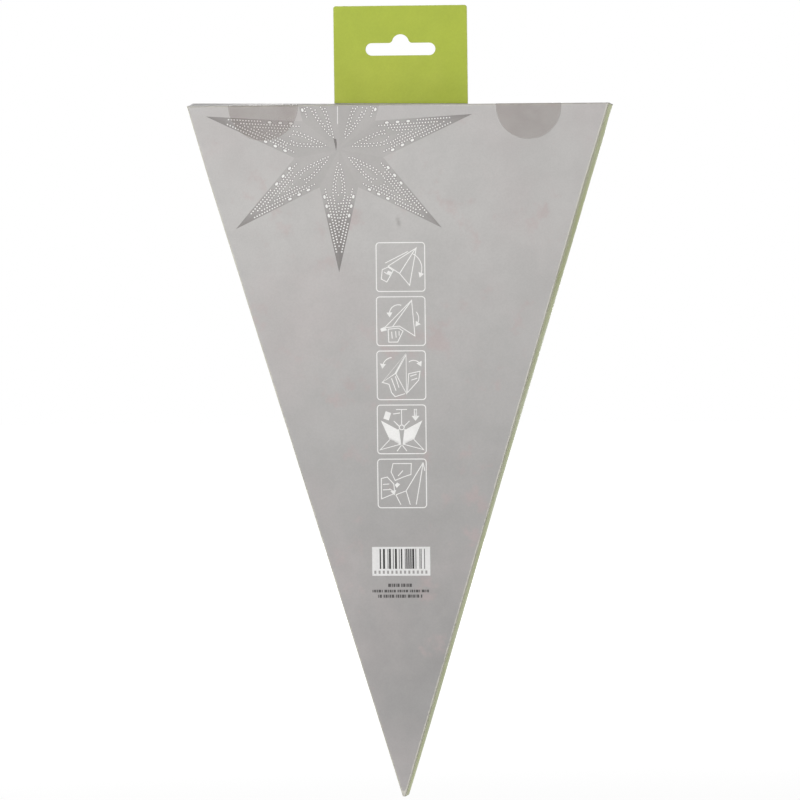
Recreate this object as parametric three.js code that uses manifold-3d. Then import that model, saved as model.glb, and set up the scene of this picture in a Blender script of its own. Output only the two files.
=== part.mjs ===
// A paper star light in its retail carton: a tall three-cornered folding carton, point down,
// that hangs by a slotted tab and holds a folded seven-armed paper star and its battery light.
// Millimetres, +Z up. The grey back panel faces -Y, the green front panel faces +Y.
// The origin is the centre of the tab slot's round hump, midway between the tab's two plies.
import * as THREE from "three";
import { mergeVertices } from "three/addons/utils/BufferGeometryUtils.js";
import Module from "manifold-3d";

const wasm = await Module();
wasm.setup();

// Carton
const PANEL_WIDTH = 190;
const PANEL_HEIGHT = 311;
const TIP_WIDTH = 1.4;
const CARTON_DEPTH = 22;
const BOARD = 0.4;
const GLUE_LINE = 0.05;
const CREASE_GAP = 0.3;
const GLUE_FLAP_WIDTH = 12;
const GLUE_FLAP_END_GAP = 14;

// Hang tab
const TAB_WIDTH = 60.4;
const TAB_HEIGHT = 44;
const TAB_CORNER = 1.2;
const SLOT_ABOVE_LID = 27.2;
const SLOT_WIDTH = 31.6;
const SLOT_HEIGHT = 5.6;
const HUMP_RADIUS = 3.9;

// Lid, tuck flap and dust flaps
const TUCK_DEPTH = 10;
const TUCK_SLACK = 0.8;
const TUCK_CORNER = 5;
const DUST_LENGTH = 18;
const DUST_SETBACK = 1.5;
const DUST_FRONT_GAP = 1;
const DUST_TAPER = 5.4;

// Wafer seals over the lid's free edge
const SEAL_FROM_CORNER = 35;
const LEFT_SEAL_RADIUS = 15.8;
const RIGHT_SEAL_RADIUS = 14.7;
const SEAL_FILM = 0.2;

// Folded star
const ARM_COUNT = 7;
const ARM_HEAD_ROOM = 16.5;
const VALLEY_SHARE = 0.688;
const ARM_THICKNESS = 0.8;
const ARM_GAP = 0.3;
const STAR_CLEARANCE = 0.3;
const STAR_BEHIND_TUCK = 0.4;
const EDGE_HOLE_RADIUS = 1.5;
const EDGE_HOLE_INSET = 8;
const FOLD_HOLE_RADIUS = 2.4;
const EDGE_HOLE_SHARES = [0.34, 0.43, 0.52, 0.61, 0.7, 0.79, 0.88];
const FOLD_HOLE_SHARES = [0.3, 0.42, 0.54, 0.66, 0.78, 0.9];
const PAD_RADIUS = 6;
const PAD_THICKNESS = 0.8;
const PAD_INSET = 14;
const PAD_SHARES = [0.46, 0.6, 0.74];

// Battery box
const CELL_RADIUS = 7.25;
const CELL_LENGTH = 49.2;
const CELL_NUB_RADIUS = 2.75;
const CELL_NUB_LENGTH = 1.3;
const CELL_COUNT = 3;
const CELL_GAP = 0.3;
const CASE_WALL = 1.4;
const CASE_CORNER = 3;
const CASE_SEAM = 0.05;
const CONTACT_THICKNESS = 0.4;
const CONTACT_WIDTH = 9;
const CONTACT_TO_CELL = 0.3;
const ELECTRICS_BAY = 12;
const CIRCUIT_THICKNESS = 1.2;
const CIRCUIT_HEIGHT = 22;
const CIRCUIT_DEPTH = 12;
const SWITCH_WIDTH = 5;
const SWITCH_DEPTH = 4.5;
const SWITCH_HEIGHT = 11;
const KNOB_WIDTH = 2.6;
const KNOB_HEIGHT = 4;
const KNOB_PROUD = 0.9;
const KNOB_TRAVEL = 3;
const KNOB_CLEARANCE = 0.3;
const SCREW_RADIUS = 1.1;
const SCREW_HEAD_RADIUS = 2.1;
const SCREW_HEAD_HEIGHT = 0.7;
const SCREW_LENGTH = 8;
const SCREW_CLEARANCE = 0.3;
const BOSS_RADIUS = 2.7;
const BOSS_INSET = 4.6;
const GROMMET_RADIUS = 2.2;
const GROMMET_FLANGE_RADIUS = 3.2;
const GROMMET_FLANGE = 0.8;
const GROMMET_BORE = 1;
const GROMMET_CLEARANCE = 0.15;

// Light on its hanger
const STEM_RADIUS = 3;
const STEM_BORE = 1.8;
const STEM_LENGTH = 96;
const STEM_SOCKET = 5;
const STEM_FIT = 0.2;
const HANGER_WIDTH = 60;
const HANGER_HEIGHT = 5;
const HANGER_DEPTH = 10;
const HANGER_HUB_WIDTH = 13;
const HANGER_HUB_HEIGHT = 11;
const HANGER_TIP_RISE = 2.4;
const HANGER_TIP_WIDTH = 4;
const HANGER_BELOW_CASE = 1;
const LAMP_COUNT = 6;
const LAMP_RADIUS = 2.5;
const LAMP_FLANGE_RADIUS = 2.9;
const LAMP_FLANGE = 1;
const LAMP_LENGTH = 9;
const LAMP_SOCKET = 2.4;
const LAMP_FIT = 0.2;
const LIGHT_HUB_RADIUS = 13;
const NECK_WIDTH = 8.6;
const LIGHT_HUB_DEPTH = 10;
const LIGHT_CLEARANCE = 0.3;

// Facets
const CORNER_STEPS = 4;
const SLOT_STEPS = 8;
const SEAL_STEPS = 12;
const HOLE_SIDES = 6;
const ROUND_SIDES = 12;
const OVERRUN = 1;

// Planes worked out from the sizes
const lidTop = -SLOT_ABOVE_LID;
const frontFace = GLUE_LINE / 2 + BOARD;
const backFace = frontFace - CARTON_DEPTH;
const frontInside = frontFace - BOARD;
const backInside = backFace + BOARD;
const tabBack = -GLUE_LINE / 2 - BOARD;
const lidHingeY = tabBack - CREASE_GAP;
const panelTop = lidTop - BOARD - CREASE_GAP;
const tuckInside = backInside + TUCK_SLACK + BOARD;
const wallSlope = (PANEL_WIDTH - TIP_WIDTH) / 2 / PANEL_HEIGHT;
const wallAngle = Math.atan(wallSlope);
const wallAcross = BOARD / Math.cos(wallAngle);

// Half width of the carton's outside, and of the room inside its walls, at a depth below the lid's top.
const outerHalf = (depth) => PANEL_WIDTH / 2 - wallSlope * depth;
const innerHalf = (depth) => outerHalf(depth) - wallAcross;

const paint = (color, roughness, metalness = 0) =>
  new THREE.MeshStandardMaterial({ color, roughness, metalness });
const greyBoard = paint("#b9b6b4", 0.55);
const greenBoard = paint("#a9b64f", 0.5);
const clearFilm = new THREE.MeshStandardMaterial({
  color: "#cfc9c5",
  roughness: 0.3,
  transparent: true,
  opacity: 0.45,
});
const starPaper = paint("#f1efe9", 0.8);
const hookFabric = paint("#e6e6e2", 0.95);
const whitePlastic = paint("#eceae4", 0.45);
const lampResin = paint("#f4ecd2", 0.2);
const steel = paint("#b8bcc0", 0.35, 1);
const cellSleeve = paint("#8f9aa0", 0.4);
const blackPlastic = paint("#222324", 0.5);
const circuitLaminate = paint("#2f6b46", 0.5);
const greyRubber = paint("#8b8d8e", 0.8);

const assembly = new THREE.Group();

function add(name, geometry, material) {
  const mesh = new THREE.Mesh(geometry, material);
  mesh.name = name;
  assembly.add(mesh);
  return mesh;
}

// A shape drawn in X and Z, made a plate that lies between farY - thickness and farY.
function plate(shape, thickness, farY, curveSegments = CORNER_STEPS) {
  const settings = { depth: thickness, bevelEnabled: false, curveSegments };
  return new THREE.ExtrudeGeometry(shape, settings).rotateX(Math.PI / 2).translate(0, farY, 0);
}

// A shape drawn in X and Y, made a plate that lies between lowZ and lowZ + thickness.
function sheet(shape, thickness, lowZ, curveSegments = CORNER_STEPS) {
  const settings = { depth: thickness, bevelEnabled: false, curveSegments };
  return new THREE.ExtrudeGeometry(shape, settings).translate(0, 0, lowZ);
}

function outline(points) {
  return new THREE.Shape(points.map(([across, up]) => new THREE.Vector2(across, up)));
}

function regularPath(centreX, centreY, radius, sides) {
  const points = [];
  for (let i = 0; i < sides; i += 1) {
    const angle = (2 * Math.PI * i) / sides;
    const across = centreX + radius * Math.cos(angle);
    points.push(new THREE.Vector2(across, centreY + radius * Math.sin(angle)));
  }
  return new THREE.Path(points);
}

function roundedRectangle(width, height, corner, centreX, centreY) {
  const right = centreX + width / 2 - corner;
  const left = centreX - width / 2 + corner;
  const top = centreY + height / 2 - corner;
  const low = centreY - height / 2 + corner;
  const shape = new THREE.Shape();
  shape.absarc(right, top, corner, 0, Math.PI / 2);
  shape.absarc(left, top, corner, Math.PI / 2, Math.PI);
  shape.absarc(left, low, corner, Math.PI, 1.5 * Math.PI);
  shape.absarc(right, low, corner, 1.5 * Math.PI, 2 * Math.PI);
  return shape;
}

// A box given by its lowest and highest corners.
function block(low, high) {
  const size = high.map((value, i) => value - low[i]);
  const middle = high.map((value, i) => (value + low[i]) / 2);
  return new THREE.BoxGeometry(...size).translate(...middle);
}

function solid(geometry) {
  const bare = geometry.clone();
  bare.deleteAttribute("normal");
  bare.deleteAttribute("uv");
  const merged = mergeVertices(bare);
  const vertProperties = new Float32Array(merged.attributes.position.array);
  const triVerts = new Uint32Array(merged.index.array);
  return new wasm.Manifold(new wasm.Mesh({ numProp: 3, vertProperties, triVerts }));
}

function meshed(manifold) {
  const mesh = manifold.getMesh();
  const geometry = new THREE.BufferGeometry();
  geometry.setAttribute("position", new THREE.BufferAttribute(mesh.vertProperties, 3));
  geometry.setIndex(new THREE.BufferAttribute(mesh.triVerts, 1));
  geometry.computeVertexNormals();
  return geometry;
}

// A body turned about the Y axis of its profile, given as pairs of radius and height.
function turned(profile, sides) {
  const points = profile.map(([radius, height]) => new THREE.Vector2(radius, height));
  return new THREE.LatheGeometry(points, sides);
}

// Carton panels
function triangle(topZ) {
  const topDepth = lidTop - topZ;
  return outline([
    [-outerHalf(topDepth), topZ],
    [-TIP_WIDTH / 2, lidTop - PANEL_HEIGHT],
    [TIP_WIDTH / 2, lidTop - PANEL_HEIGHT],
    [outerHalf(topDepth), topZ],
  ]);
}

function addPanels() {
  add("back_panel", plate(triangle(panelTop), BOARD, backInside), greyBoard);
  add("front_panel", plate(triangle(lidTop), BOARD, frontFace), greenBoard);
}

function addWall(name, side) {
  const topDepth = lidTop - panelTop;
  const points = [
    [side * outerHalf(topDepth), panelTop],
    [side * outerHalf(PANEL_HEIGHT), lidTop - PANEL_HEIGHT],
    [side * innerHalf(PANEL_HEIGHT), lidTop - PANEL_HEIGHT],
    [side * innerHalf(topDepth), panelTop],
  ];
  const depth = frontInside - backInside - 2 * GLUE_LINE;
  add(name, plate(outline(points), depth, frontInside - GLUE_LINE), greenBoard);
}

// The strip that joins the blank into a sleeve, glued behind the back panel along its left edge.
function addGlueFlap() {
  const topZ = panelTop - GLUE_FLAP_END_GAP;
  const lowZ = lidTop - PANEL_HEIGHT + GLUE_FLAP_WIDTH / wallSlope;
  const edge = (z) => -innerHalf(lidTop - z) + CREASE_GAP;
  const inset = (z) => edge(z) + GLUE_FLAP_WIDTH;
  const points = [
    [edge(topZ), topZ],
    [edge(lowZ), lowZ],
    [inset(lowZ + GLUE_FLAP_WIDTH), lowZ + GLUE_FLAP_WIDTH],
    [inset(topZ - GLUE_FLAP_WIDTH), topZ - GLUE_FLAP_WIDTH],
  ];
  add("glue_flap", plate(outline(points), BOARD, backInside + GLUE_LINE + BOARD), greyBoard);
}

// Hang tab
function slotPath() {
  const end = SLOT_HEIGHT / 2;
  const reach = SLOT_WIDTH / 2 - end;
  const path = new THREE.Path();
  path.absarc(reach, -end, end, -Math.PI / 2, Math.PI / 2);
  path.absarc(0, 0, HUMP_RADIUS, 0, Math.PI);
  path.absarc(-reach, -end, end, Math.PI / 2, 1.5 * Math.PI);
  return path;
}

function tabShape() {
  const foot = lidTop + CREASE_GAP;
  const head = lidTop + TAB_HEIGHT;
  const half = TAB_WIDTH / 2;
  const shape = new THREE.Shape();
  shape.moveTo(-half, foot);
  shape.lineTo(half, foot);
  shape.absarc(half - TAB_CORNER, head - TAB_CORNER, TAB_CORNER, 0, Math.PI / 2);
  shape.absarc(-half + TAB_CORNER, head - TAB_CORNER, TAB_CORNER, Math.PI / 2, Math.PI);
  shape.holes.push(slotPath());
  return shape;
}

function addTab() {
  add("tab_front_ply", plate(tabShape(), BOARD, frontFace, SLOT_STEPS), greenBoard);
  add("tab_back_ply", plate(tabShape(), BOARD, -GLUE_LINE / 2, SLOT_STEPS), greenBoard);
}

// Lid and flaps
function addLid() {
  const half = PANEL_WIDTH / 2;
  const low = [-half, backFace, lidTop - BOARD];
  add("lid", block(low, [half, lidHingeY - CREASE_GAP, lidTop]), greyBoard);
}

function addTuckFlap() {
  const topZ = lidTop - BOARD - CREASE_GAP;
  const lowZ = topZ - TUCK_DEPTH;
  const half = innerHalf(lidTop - lowZ) - CREASE_GAP;
  const shape = new THREE.Shape();
  shape.moveTo(half, topZ);
  shape.lineTo(-half, topZ);
  shape.absarc(-half + TUCK_CORNER, lowZ + TUCK_CORNER, TUCK_CORNER, Math.PI, 1.5 * Math.PI);
  shape.absarc(half - TUCK_CORNER, lowZ + TUCK_CORNER, TUCK_CORNER, 1.5 * Math.PI, 2 * Math.PI);
  add("tuck_flap", plate(shape, BOARD, tuckInside), greyBoard);
}

// A dust flap is cut back beside the tuck flap and tapered towards the lid's crease, to rise freely.
function addDustFlap(name, side) {
  const topZ = lidTop - BOARD - CREASE_GAP;
  const root = innerHalf(BOARD + CREASE_GAP + BOARD) - CREASE_GAP;
  const points = [
    [side * root, tuckInside + DUST_SETBACK],
    [side * (root - DUST_LENGTH), tuckInside + DUST_SETBACK],
    [side * (root - DUST_LENGTH), lidHingeY - DUST_FRONT_GAP - DUST_TAPER],
    [side * root, lidHingeY - DUST_FRONT_GAP],
  ];
  add(name, sheet(outline(points), BOARD, topZ - BOARD), greenBoard);
}

// Each round wafer is folded over the lid's free edge, and is slit along that edge when the lid opens.
function addSeal(side, name, radius) {
  const centre = side * (PANEL_WIDTH / 2 - SEAL_FROM_CORNER);
  const below = new THREE.Shape();
  below.absarc(centre, lidTop, radius, Math.PI, 2 * Math.PI);
  const onPanel = plate(below, SEAL_FILM, backFace - GLUE_LINE, SEAL_STEPS);
  add(`${name}_seal_panel_half`, onPanel, clearFilm);
  const above = new THREE.Shape();
  above.absarc(centre, backFace, radius, 0, Math.PI);
  const onLid = sheet(above, SEAL_FILM, lidTop + GLUE_LINE, SEAL_STEPS);
  add(`${name}_seal_lid_half`, onLid, clearFilm);
}

// Folded star: each arm folds flat to a dart whose edges run along the carton's walls.
const armTipDepth = (PANEL_WIDTH / 2 - wallAcross - STAR_CLEARANCE) / wallSlope;
const armCornerDepth = ARM_HEAD_ROOM;
const armEdge = (armTipDepth - armCornerDepth) / Math.cos(wallAngle);
const armCornerHalf = armEdge * Math.sin(wallAngle);
const armValley = armEdge * VALLEY_SHARE;
const armNotchDepth = armTipDepth - armValley;
const notchSlope = (armNotchDepth - armCornerDepth) / armCornerHalf;
const starBack = tuckInside + STAR_BEHIND_TUCK;
const armPitch = ARM_THICKNESS + ARM_GAP;
const starFront = starBack + ARM_COUNT * armPitch - ARM_GAP;

// A place on the folded arm: a share of the way from its tip, and an inset from the edge on one side.
function armPlace(share, inset, side) {
  const along = armEdge * share * Math.cos(wallAngle);
  const half = along * wallSlope - inset / Math.cos(wallAngle);
  return [side * half, lidTop - armTipDepth + along];
}

function armShape() {
  const shape = outline([
    [0, lidTop - armTipDepth],
    [armCornerHalf, lidTop - armCornerDepth],
    [0, lidTop - armNotchDepth],
    [-armCornerHalf, lidTop - armCornerDepth],
  ]);
  for (const side of [-1, 1]) {
    for (const share of EDGE_HOLE_SHARES) {
      const [across, up] = armPlace(share, EDGE_HOLE_INSET, side);
      shape.holes.push(regularPath(across, up, EDGE_HOLE_RADIUS, HOLE_SIDES));
    }
  }
  for (const share of FOLD_HOLE_SHARES) {
    const up = lidTop - armTipDepth + armValley * share;
    shape.holes.push(regularPath(0, up, FOLD_HOLE_RADIUS, HOLE_SIDES));
  }
  return shape;
}

function addStar() {
  for (let i = 0; i < ARM_COUNT; i += 1) {
    const farY = starBack + i * armPitch + ARM_THICKNESS;
    add(`star_arm_${i + 1}`, plate(armShape(), ARM_THICKNESS, farY), starPaper);
  }
  PAD_SHARES.forEach((share, i) => {
    const [across, up] = armPlace(share, PAD_INSET, -1);
    const disc = new THREE.Shape(regularPath(across, up, PAD_RADIUS, ROUND_SIDES).getPoints());
    const farY = starFront + GLUE_LINE + PAD_THICKNESS;
    add(`closing_pad_${i + 1}`, plate(disc, PAD_THICKNESS, farY), hookFabric);
  });
}

// Battery box: lies across the notch of the folded star, over the full depth of the carton.
const cellPitch = 2 * CELL_RADIUS + CELL_GAP;
const cellOverall = CELL_LENGTH + CELL_NUB_LENGTH;
const cellRoom = cellOverall + 2 * (CONTACT_THICKNESS + CONTACT_TO_CELL + CELL_GAP);
const caseWidth = cellRoom + ELECTRICS_BAY + 2 * CASE_WALL;
const caseHeight = CELL_COUNT * cellPitch + CELL_GAP + 2 * CASE_WALL;
const caseRearDepth = CASE_WALL + 2 * CELL_RADIUS + 2 * CELL_GAP;
const notchAngle = Math.atan(notchSlope);
const caseLowDepth = armNotchDepth - (caseWidth / 2) * notchSlope - STAR_CLEARANCE / Math.cos(notchAngle);
const caseLow = lidTop - caseLowDepth;
const caseMiddle = caseLow + caseHeight / 2;
const caseTop = caseLow + caseHeight;
const caseBack = starBack;
const caseRim = caseBack + caseRearDepth;
const caseFront = caseRim + CASE_SEAM + CASE_WALL;
const caseLeft = -caseWidth / 2;
const cellStart = caseLeft + CASE_WALL + CELL_GAP + CONTACT_THICKNESS + CONTACT_TO_CELL;
const bayMiddle = caseWidth / 2 - CASE_WALL - ELECTRICS_BAY / 2;
const cellAxisY = caseBack + CASE_WALL + CELL_GAP + CELL_RADIUS;
const bossX = caseWidth / 2 - BOSS_INSET;
const bossZ = caseTop - BOSS_INSET;
const switchZ = caseMiddle + CIRCUIT_HEIGHT / 2 - SWITCH_HEIGHT / 2;
const knobRestZ = switchZ - KNOB_TRAVEL / 2;

// A cylinder along Y between two depths.
function rod(centreX, centreZ, radius, nearY, farY, sides = ROUND_SIDES) {
  const shape = new THREE.Shape(regularPath(centreX, centreZ, radius, sides).getPoints());
  return plate(shape, farY - nearY, farY);
}

function addCase() {
  const outside = roundedRectangle(caseWidth, caseHeight, CASE_CORNER, 0, caseMiddle);
  const inside = roundedRectangle(
    caseWidth - 2 * CASE_WALL,
    caseHeight - 2 * CASE_WALL,
    CASE_CORNER - CASE_WALL,
    0,
    caseMiddle,
  );
  const cavityFloor = caseBack + CASE_WALL;
  const cavity = plate(inside, caseRim - cavityFloor + OVERRUN, caseRim + OVERRUN);
  const boss = solid(rod(bossX, bossZ, BOSS_RADIUS, caseBack + CASE_WALL / 2, caseRim - CASE_WALL));
  const bossBore = rod(
    bossX,
    bossZ,
    SCREW_RADIUS + SCREW_CLEARANCE,
    caseRim - SCREW_LENGTH - SCREW_CLEARANCE,
    caseRim + OVERRUN,
  );
  const leadHole = new THREE.CylinderGeometry(
    GROMMET_RADIUS + GROMMET_CLEARANCE,
    GROMMET_RADIUS + GROMMET_CLEARANCE,
    CASE_WALL + 2 * OVERRUN,
    ROUND_SIDES,
  );
  leadHole.rotateX(Math.PI / 2).translate(bayMiddle, cellAxisY, caseLow + CASE_WALL / 2);
  const shell = solid(plate(outside, caseRearDepth, caseRim)).subtract(solid(cavity)).add(boss);
  add("battery_case", meshed(shell.subtract(solid(bossBore)).subtract(solid(leadHole))), whitePlastic);

  const window = block(
    [
      bayMiddle - KNOB_WIDTH / 2 - KNOB_CLEARANCE,
      caseRim - OVERRUN,
      knobRestZ - KNOB_HEIGHT / 2 - KNOB_CLEARANCE,
    ],
    [
      bayMiddle + KNOB_WIDTH / 2 + KNOB_CLEARANCE,
      caseFront + OVERRUN,
      knobRestZ + KNOB_TRAVEL + KNOB_HEIGHT / 2 + KNOB_CLEARANCE,
    ],
  );
  const screwHole = rod(bossX, bossZ, SCREW_RADIUS + SCREW_CLEARANCE, caseRim - OVERRUN, caseFront + OVERRUN);
  const cover = solid(plate(outside, CASE_WALL, caseFront)).subtract(solid(window));
  add("battery_cover", meshed(cover.subtract(solid(screwHole))), whitePlastic);
}

function addScrew() {
  const shank = solid(rod(bossX, bossZ, SCREW_RADIUS, caseRim - SCREW_LENGTH, caseFront + GLUE_LINE));
  const seat = caseFront + GLUE_LINE;
  const head = solid(rod(bossX, bossZ, SCREW_HEAD_RADIUS, seat, seat + SCREW_HEAD_HEIGHT));
  const overlapShank = solid(rod(bossX, bossZ, SCREW_RADIUS, seat - OVERRUN, seat + SCREW_HEAD_HEIGHT / 2));
  add("cover_screw", meshed(shank.add(overlapShank).add(head)), steel);
}

function addCells() {
  const profile = [
    [0, 0],
    [CELL_RADIUS, 0],
    [CELL_RADIUS, CELL_LENGTH],
    [CELL_NUB_RADIUS, CELL_LENGTH],
    [CELL_NUB_RADIUS, cellOverall],
    [0, cellOverall],
  ];
  for (let i = 0; i < CELL_COUNT; i += 1) {
    const z = caseMiddle + (i - (CELL_COUNT - 1) / 2) * cellPitch;
    const cell = add(`battery_cell_${i + 1}`, turned(profile, ROUND_SIDES), cellSleeve);
    const flipped = i % 2 === 1;
    cell.rotation.z = flipped ? Math.PI / 2 : -Math.PI / 2;
    cell.position.set(flipped ? cellStart + cellOverall : cellStart, cellAxisY, z);
  }
  const strips = [
    ["left_contact_strip", cellStart - CONTACT_TO_CELL - CONTACT_THICKNESS],
    ["right_contact_strip", cellStart + cellOverall + CONTACT_TO_CELL],
  ];
  for (const [name, x] of strips) {
    const reach = caseHeight / 2 - CASE_CORNER;
    const low = [x, cellAxisY - CONTACT_WIDTH / 2, caseMiddle - reach];
    const high = [x + CONTACT_THICKNESS, cellAxisY + CONTACT_WIDTH / 2, caseMiddle + reach];
    add(name, block(low, high), steel);
  }
}

function addElectrics() {
  const circuitX = caseWidth / 2 - CASE_WALL - CELL_GAP - CIRCUIT_THICKNESS;
  const circuitTop = bossZ - BOSS_RADIUS - CELL_GAP;
  const circuitLow = [circuitX, caseBack + CASE_WALL + CELL_GAP, circuitTop - CIRCUIT_HEIGHT];
  const circuitHigh = [circuitX + CIRCUIT_THICKNESS, circuitLow[1] + CIRCUIT_DEPTH, circuitTop];
  add("circuit_board", block(circuitLow, circuitHigh), circuitLaminate);

  const switchFront = caseRim - CELL_GAP;
  const switchLow = [bayMiddle - SWITCH_WIDTH / 2, switchFront - SWITCH_DEPTH, switchZ - SWITCH_HEIGHT / 2];
  const switchHigh = [bayMiddle + SWITCH_WIDTH / 2, switchFront, switchZ + SWITCH_HEIGHT / 2];
  add("switch_body", block(switchLow, switchHigh), steel);

  const knobLow = [bayMiddle - KNOB_WIDTH / 2, switchFront + KNOB_CLEARANCE, knobRestZ - KNOB_HEIGHT / 2];
  const knobHigh = [bayMiddle + KNOB_WIDTH / 2, caseFront + KNOB_PROUD, knobRestZ + KNOB_HEIGHT / 2];
  add("switch_knob", block(knobLow, knobHigh), blackPlastic);

  const flangeTop = caseLow - GROMMET_CLEARANCE;
  const grommetProfile = [
    [GROMMET_BORE, flangeTop - GROMMET_FLANGE],
    [GROMMET_FLANGE_RADIUS, flangeTop - GROMMET_FLANGE],
    [GROMMET_FLANGE_RADIUS, flangeTop],
    [GROMMET_RADIUS, flangeTop],
    [GROMMET_RADIUS, caseLow + CASE_WALL],
    [GROMMET_BORE, caseLow + CASE_WALL],
    [GROMMET_BORE, flangeTop - GROMMET_FLANGE],
  ];
  const grommet = turned(grommetProfile, ROUND_SIDES).rotateX(Math.PI / 2);
  add("lead_grommet", grommet.translate(bayMiddle, cellAxisY, 0), greyRubber);
}

// Light on its hanger: lies flat on the folded star, in front of it.
const lightY = starFront + LIGHT_CLEARANCE + LIGHT_HUB_DEPTH / 2;
const hangerTop = caseLow - HANGER_BELOW_CASE - HANGER_TIP_RISE;
const hangerSocketTop = hangerTop - HANGER_HUB_HEIGHT + STEM_SOCKET;
const stemTop = hangerSocketTop - STEM_FIT;
const stemLow = stemTop - STEM_LENGTH;
const neckLow = stemLow - STEM_FIT;
const neckTop = neckLow + STEM_SOCKET;
const lightHubZ = neckLow - LIGHT_HUB_RADIUS;

function upright(radius, lowZ, highZ) {
  const cylinder = new THREE.CylinderGeometry(radius, radius, highZ - lowZ, ROUND_SIDES);
  return cylinder.rotateX(Math.PI / 2).translate(0, lightY, (lowZ + highZ) / 2);
}

function addHanger() {
  const half = HANGER_WIDTH / 2;
  const hub = HANGER_HUB_WIDTH / 2;
  const barLow = hangerTop - HANGER_HEIGHT;
  const shape = outline([
    [-half, barLow],
    [-hub, barLow],
    [-hub, hangerTop - HANGER_HUB_HEIGHT],
    [hub, hangerTop - HANGER_HUB_HEIGHT],
    [hub, barLow],
    [half, barLow],
    [half, hangerTop + HANGER_TIP_RISE],
    [half - HANGER_TIP_WIDTH, hangerTop + HANGER_TIP_RISE],
    [half - HANGER_TIP_WIDTH, hangerTop],
    [-half + HANGER_TIP_WIDTH, hangerTop],
    [-half + HANGER_TIP_WIDTH, hangerTop + HANGER_TIP_RISE],
    [-half, hangerTop + HANGER_TIP_RISE],
  ]);
  const bar = solid(plate(shape, HANGER_DEPTH, lightY + HANGER_DEPTH / 2));
  const socket = solid(
    upright(STEM_RADIUS + STEM_FIT, hangerTop - HANGER_HUB_HEIGHT - OVERRUN, hangerSocketTop),
  );
  add("hanger_bar", meshed(bar.subtract(socket)), whitePlastic);
}

function addStem() {
  const profile = [
    [STEM_BORE, stemLow],
    [STEM_RADIUS, stemLow],
    [STEM_RADIUS, stemTop],
    [STEM_BORE, stemTop],
    [STEM_BORE, stemLow],
  ];
  add("stem", turned(profile, ROUND_SIDES).rotateX(Math.PI / 2).translate(0, lightY, 0), whitePlastic);
}

function lampGeometry() {
  const shoulder = LAMP_LENGTH - LAMP_RADIUS;
  const profile = [
    [0, 0],
    [LAMP_FLANGE_RADIUS, 0],
    [LAMP_FLANGE_RADIUS, LAMP_FLANGE],
    [LAMP_RADIUS, LAMP_FLANGE],
  ];
  for (let i = 0; i < CORNER_STEPS; i += 1) {
    const angle = ((Math.PI / 2) * i) / CORNER_STEPS;
    profile.push([LAMP_RADIUS * Math.cos(angle), shoulder + LAMP_RADIUS * Math.sin(angle)]);
  }
  profile.push([0, LAMP_LENGTH]);
  return turned(profile, ROUND_SIDES);
}

function addLamps() {
  const hubNear = lightY - LIGHT_HUB_DEPTH / 2;
  const neckHalf = NECK_WIDTH / 2;
  const neck = block([-neckHalf, lightY - neckHalf, lightHubZ], [neckHalf, lightY + neckHalf, neckTop]);
  let hub = solid(rod(0, lightHubZ, LIGHT_HUB_RADIUS, hubNear, hubNear + LIGHT_HUB_DEPTH)).add(solid(neck));
  hub = hub.subtract(solid(upright(STEM_RADIUS + STEM_FIT, neckLow, neckTop + OVERRUN)));
  const seat = LIGHT_HUB_RADIUS * Math.cos(Math.PI / ROUND_SIDES) - LAMP_SOCKET;
  for (let i = 0; i < LAMP_COUNT; i += 1) {
    const angle = (2 * Math.PI * i) / LAMP_COUNT;
    const bore = LAMP_FLANGE_RADIUS + LAMP_FIT;
    const socket = new THREE.CylinderGeometry(bore, bore, LAMP_SOCKET + OVERRUN, ROUND_SIDES);
    socket.translate(0, seat + (LAMP_SOCKET + OVERRUN) / 2, 0);
    socket.rotateX(Math.PI / 2).rotateY(Math.PI / 2 - angle).translate(0, lightY, lightHubZ);
    hub = hub.subtract(solid(socket));
    const lamp = add(`led_lamp_${i + 1}`, lampGeometry(), lampResin);
    lamp.geometry.translate(0, seat + LAMP_FIT, 0);
    lamp.geometry.rotateX(Math.PI / 2).rotateY(Math.PI / 2 - angle).translate(0, lightY, lightHubZ);
  }
  add("light_hub", meshed(hub), whitePlastic);
}

addPanels();
addWall("left_wall", -1);
addWall("right_wall", 1);
addGlueFlap();
addTab();
addLid();
addTuckFlap();
addDustFlap("left_dust_flap", -1);
addDustFlap("right_dust_flap", 1);
addSeal(-1, "left", LEFT_SEAL_RADIUS);
addSeal(1, "right", RIGHT_SEAL_RADIUS);
addStar();
addCase();
addScrew();
addCells();
addElectrics();
addHanger();
addStem();
addLamps();

export default assembly;
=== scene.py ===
# A paper star light in its three-cornered carton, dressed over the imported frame.
# Metres, +Z up. The grey back panel faces -Y and the green front panel faces +Y.
import math

import bmesh
import bpy
from mathutils import Matrix, Vector, noise


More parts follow.
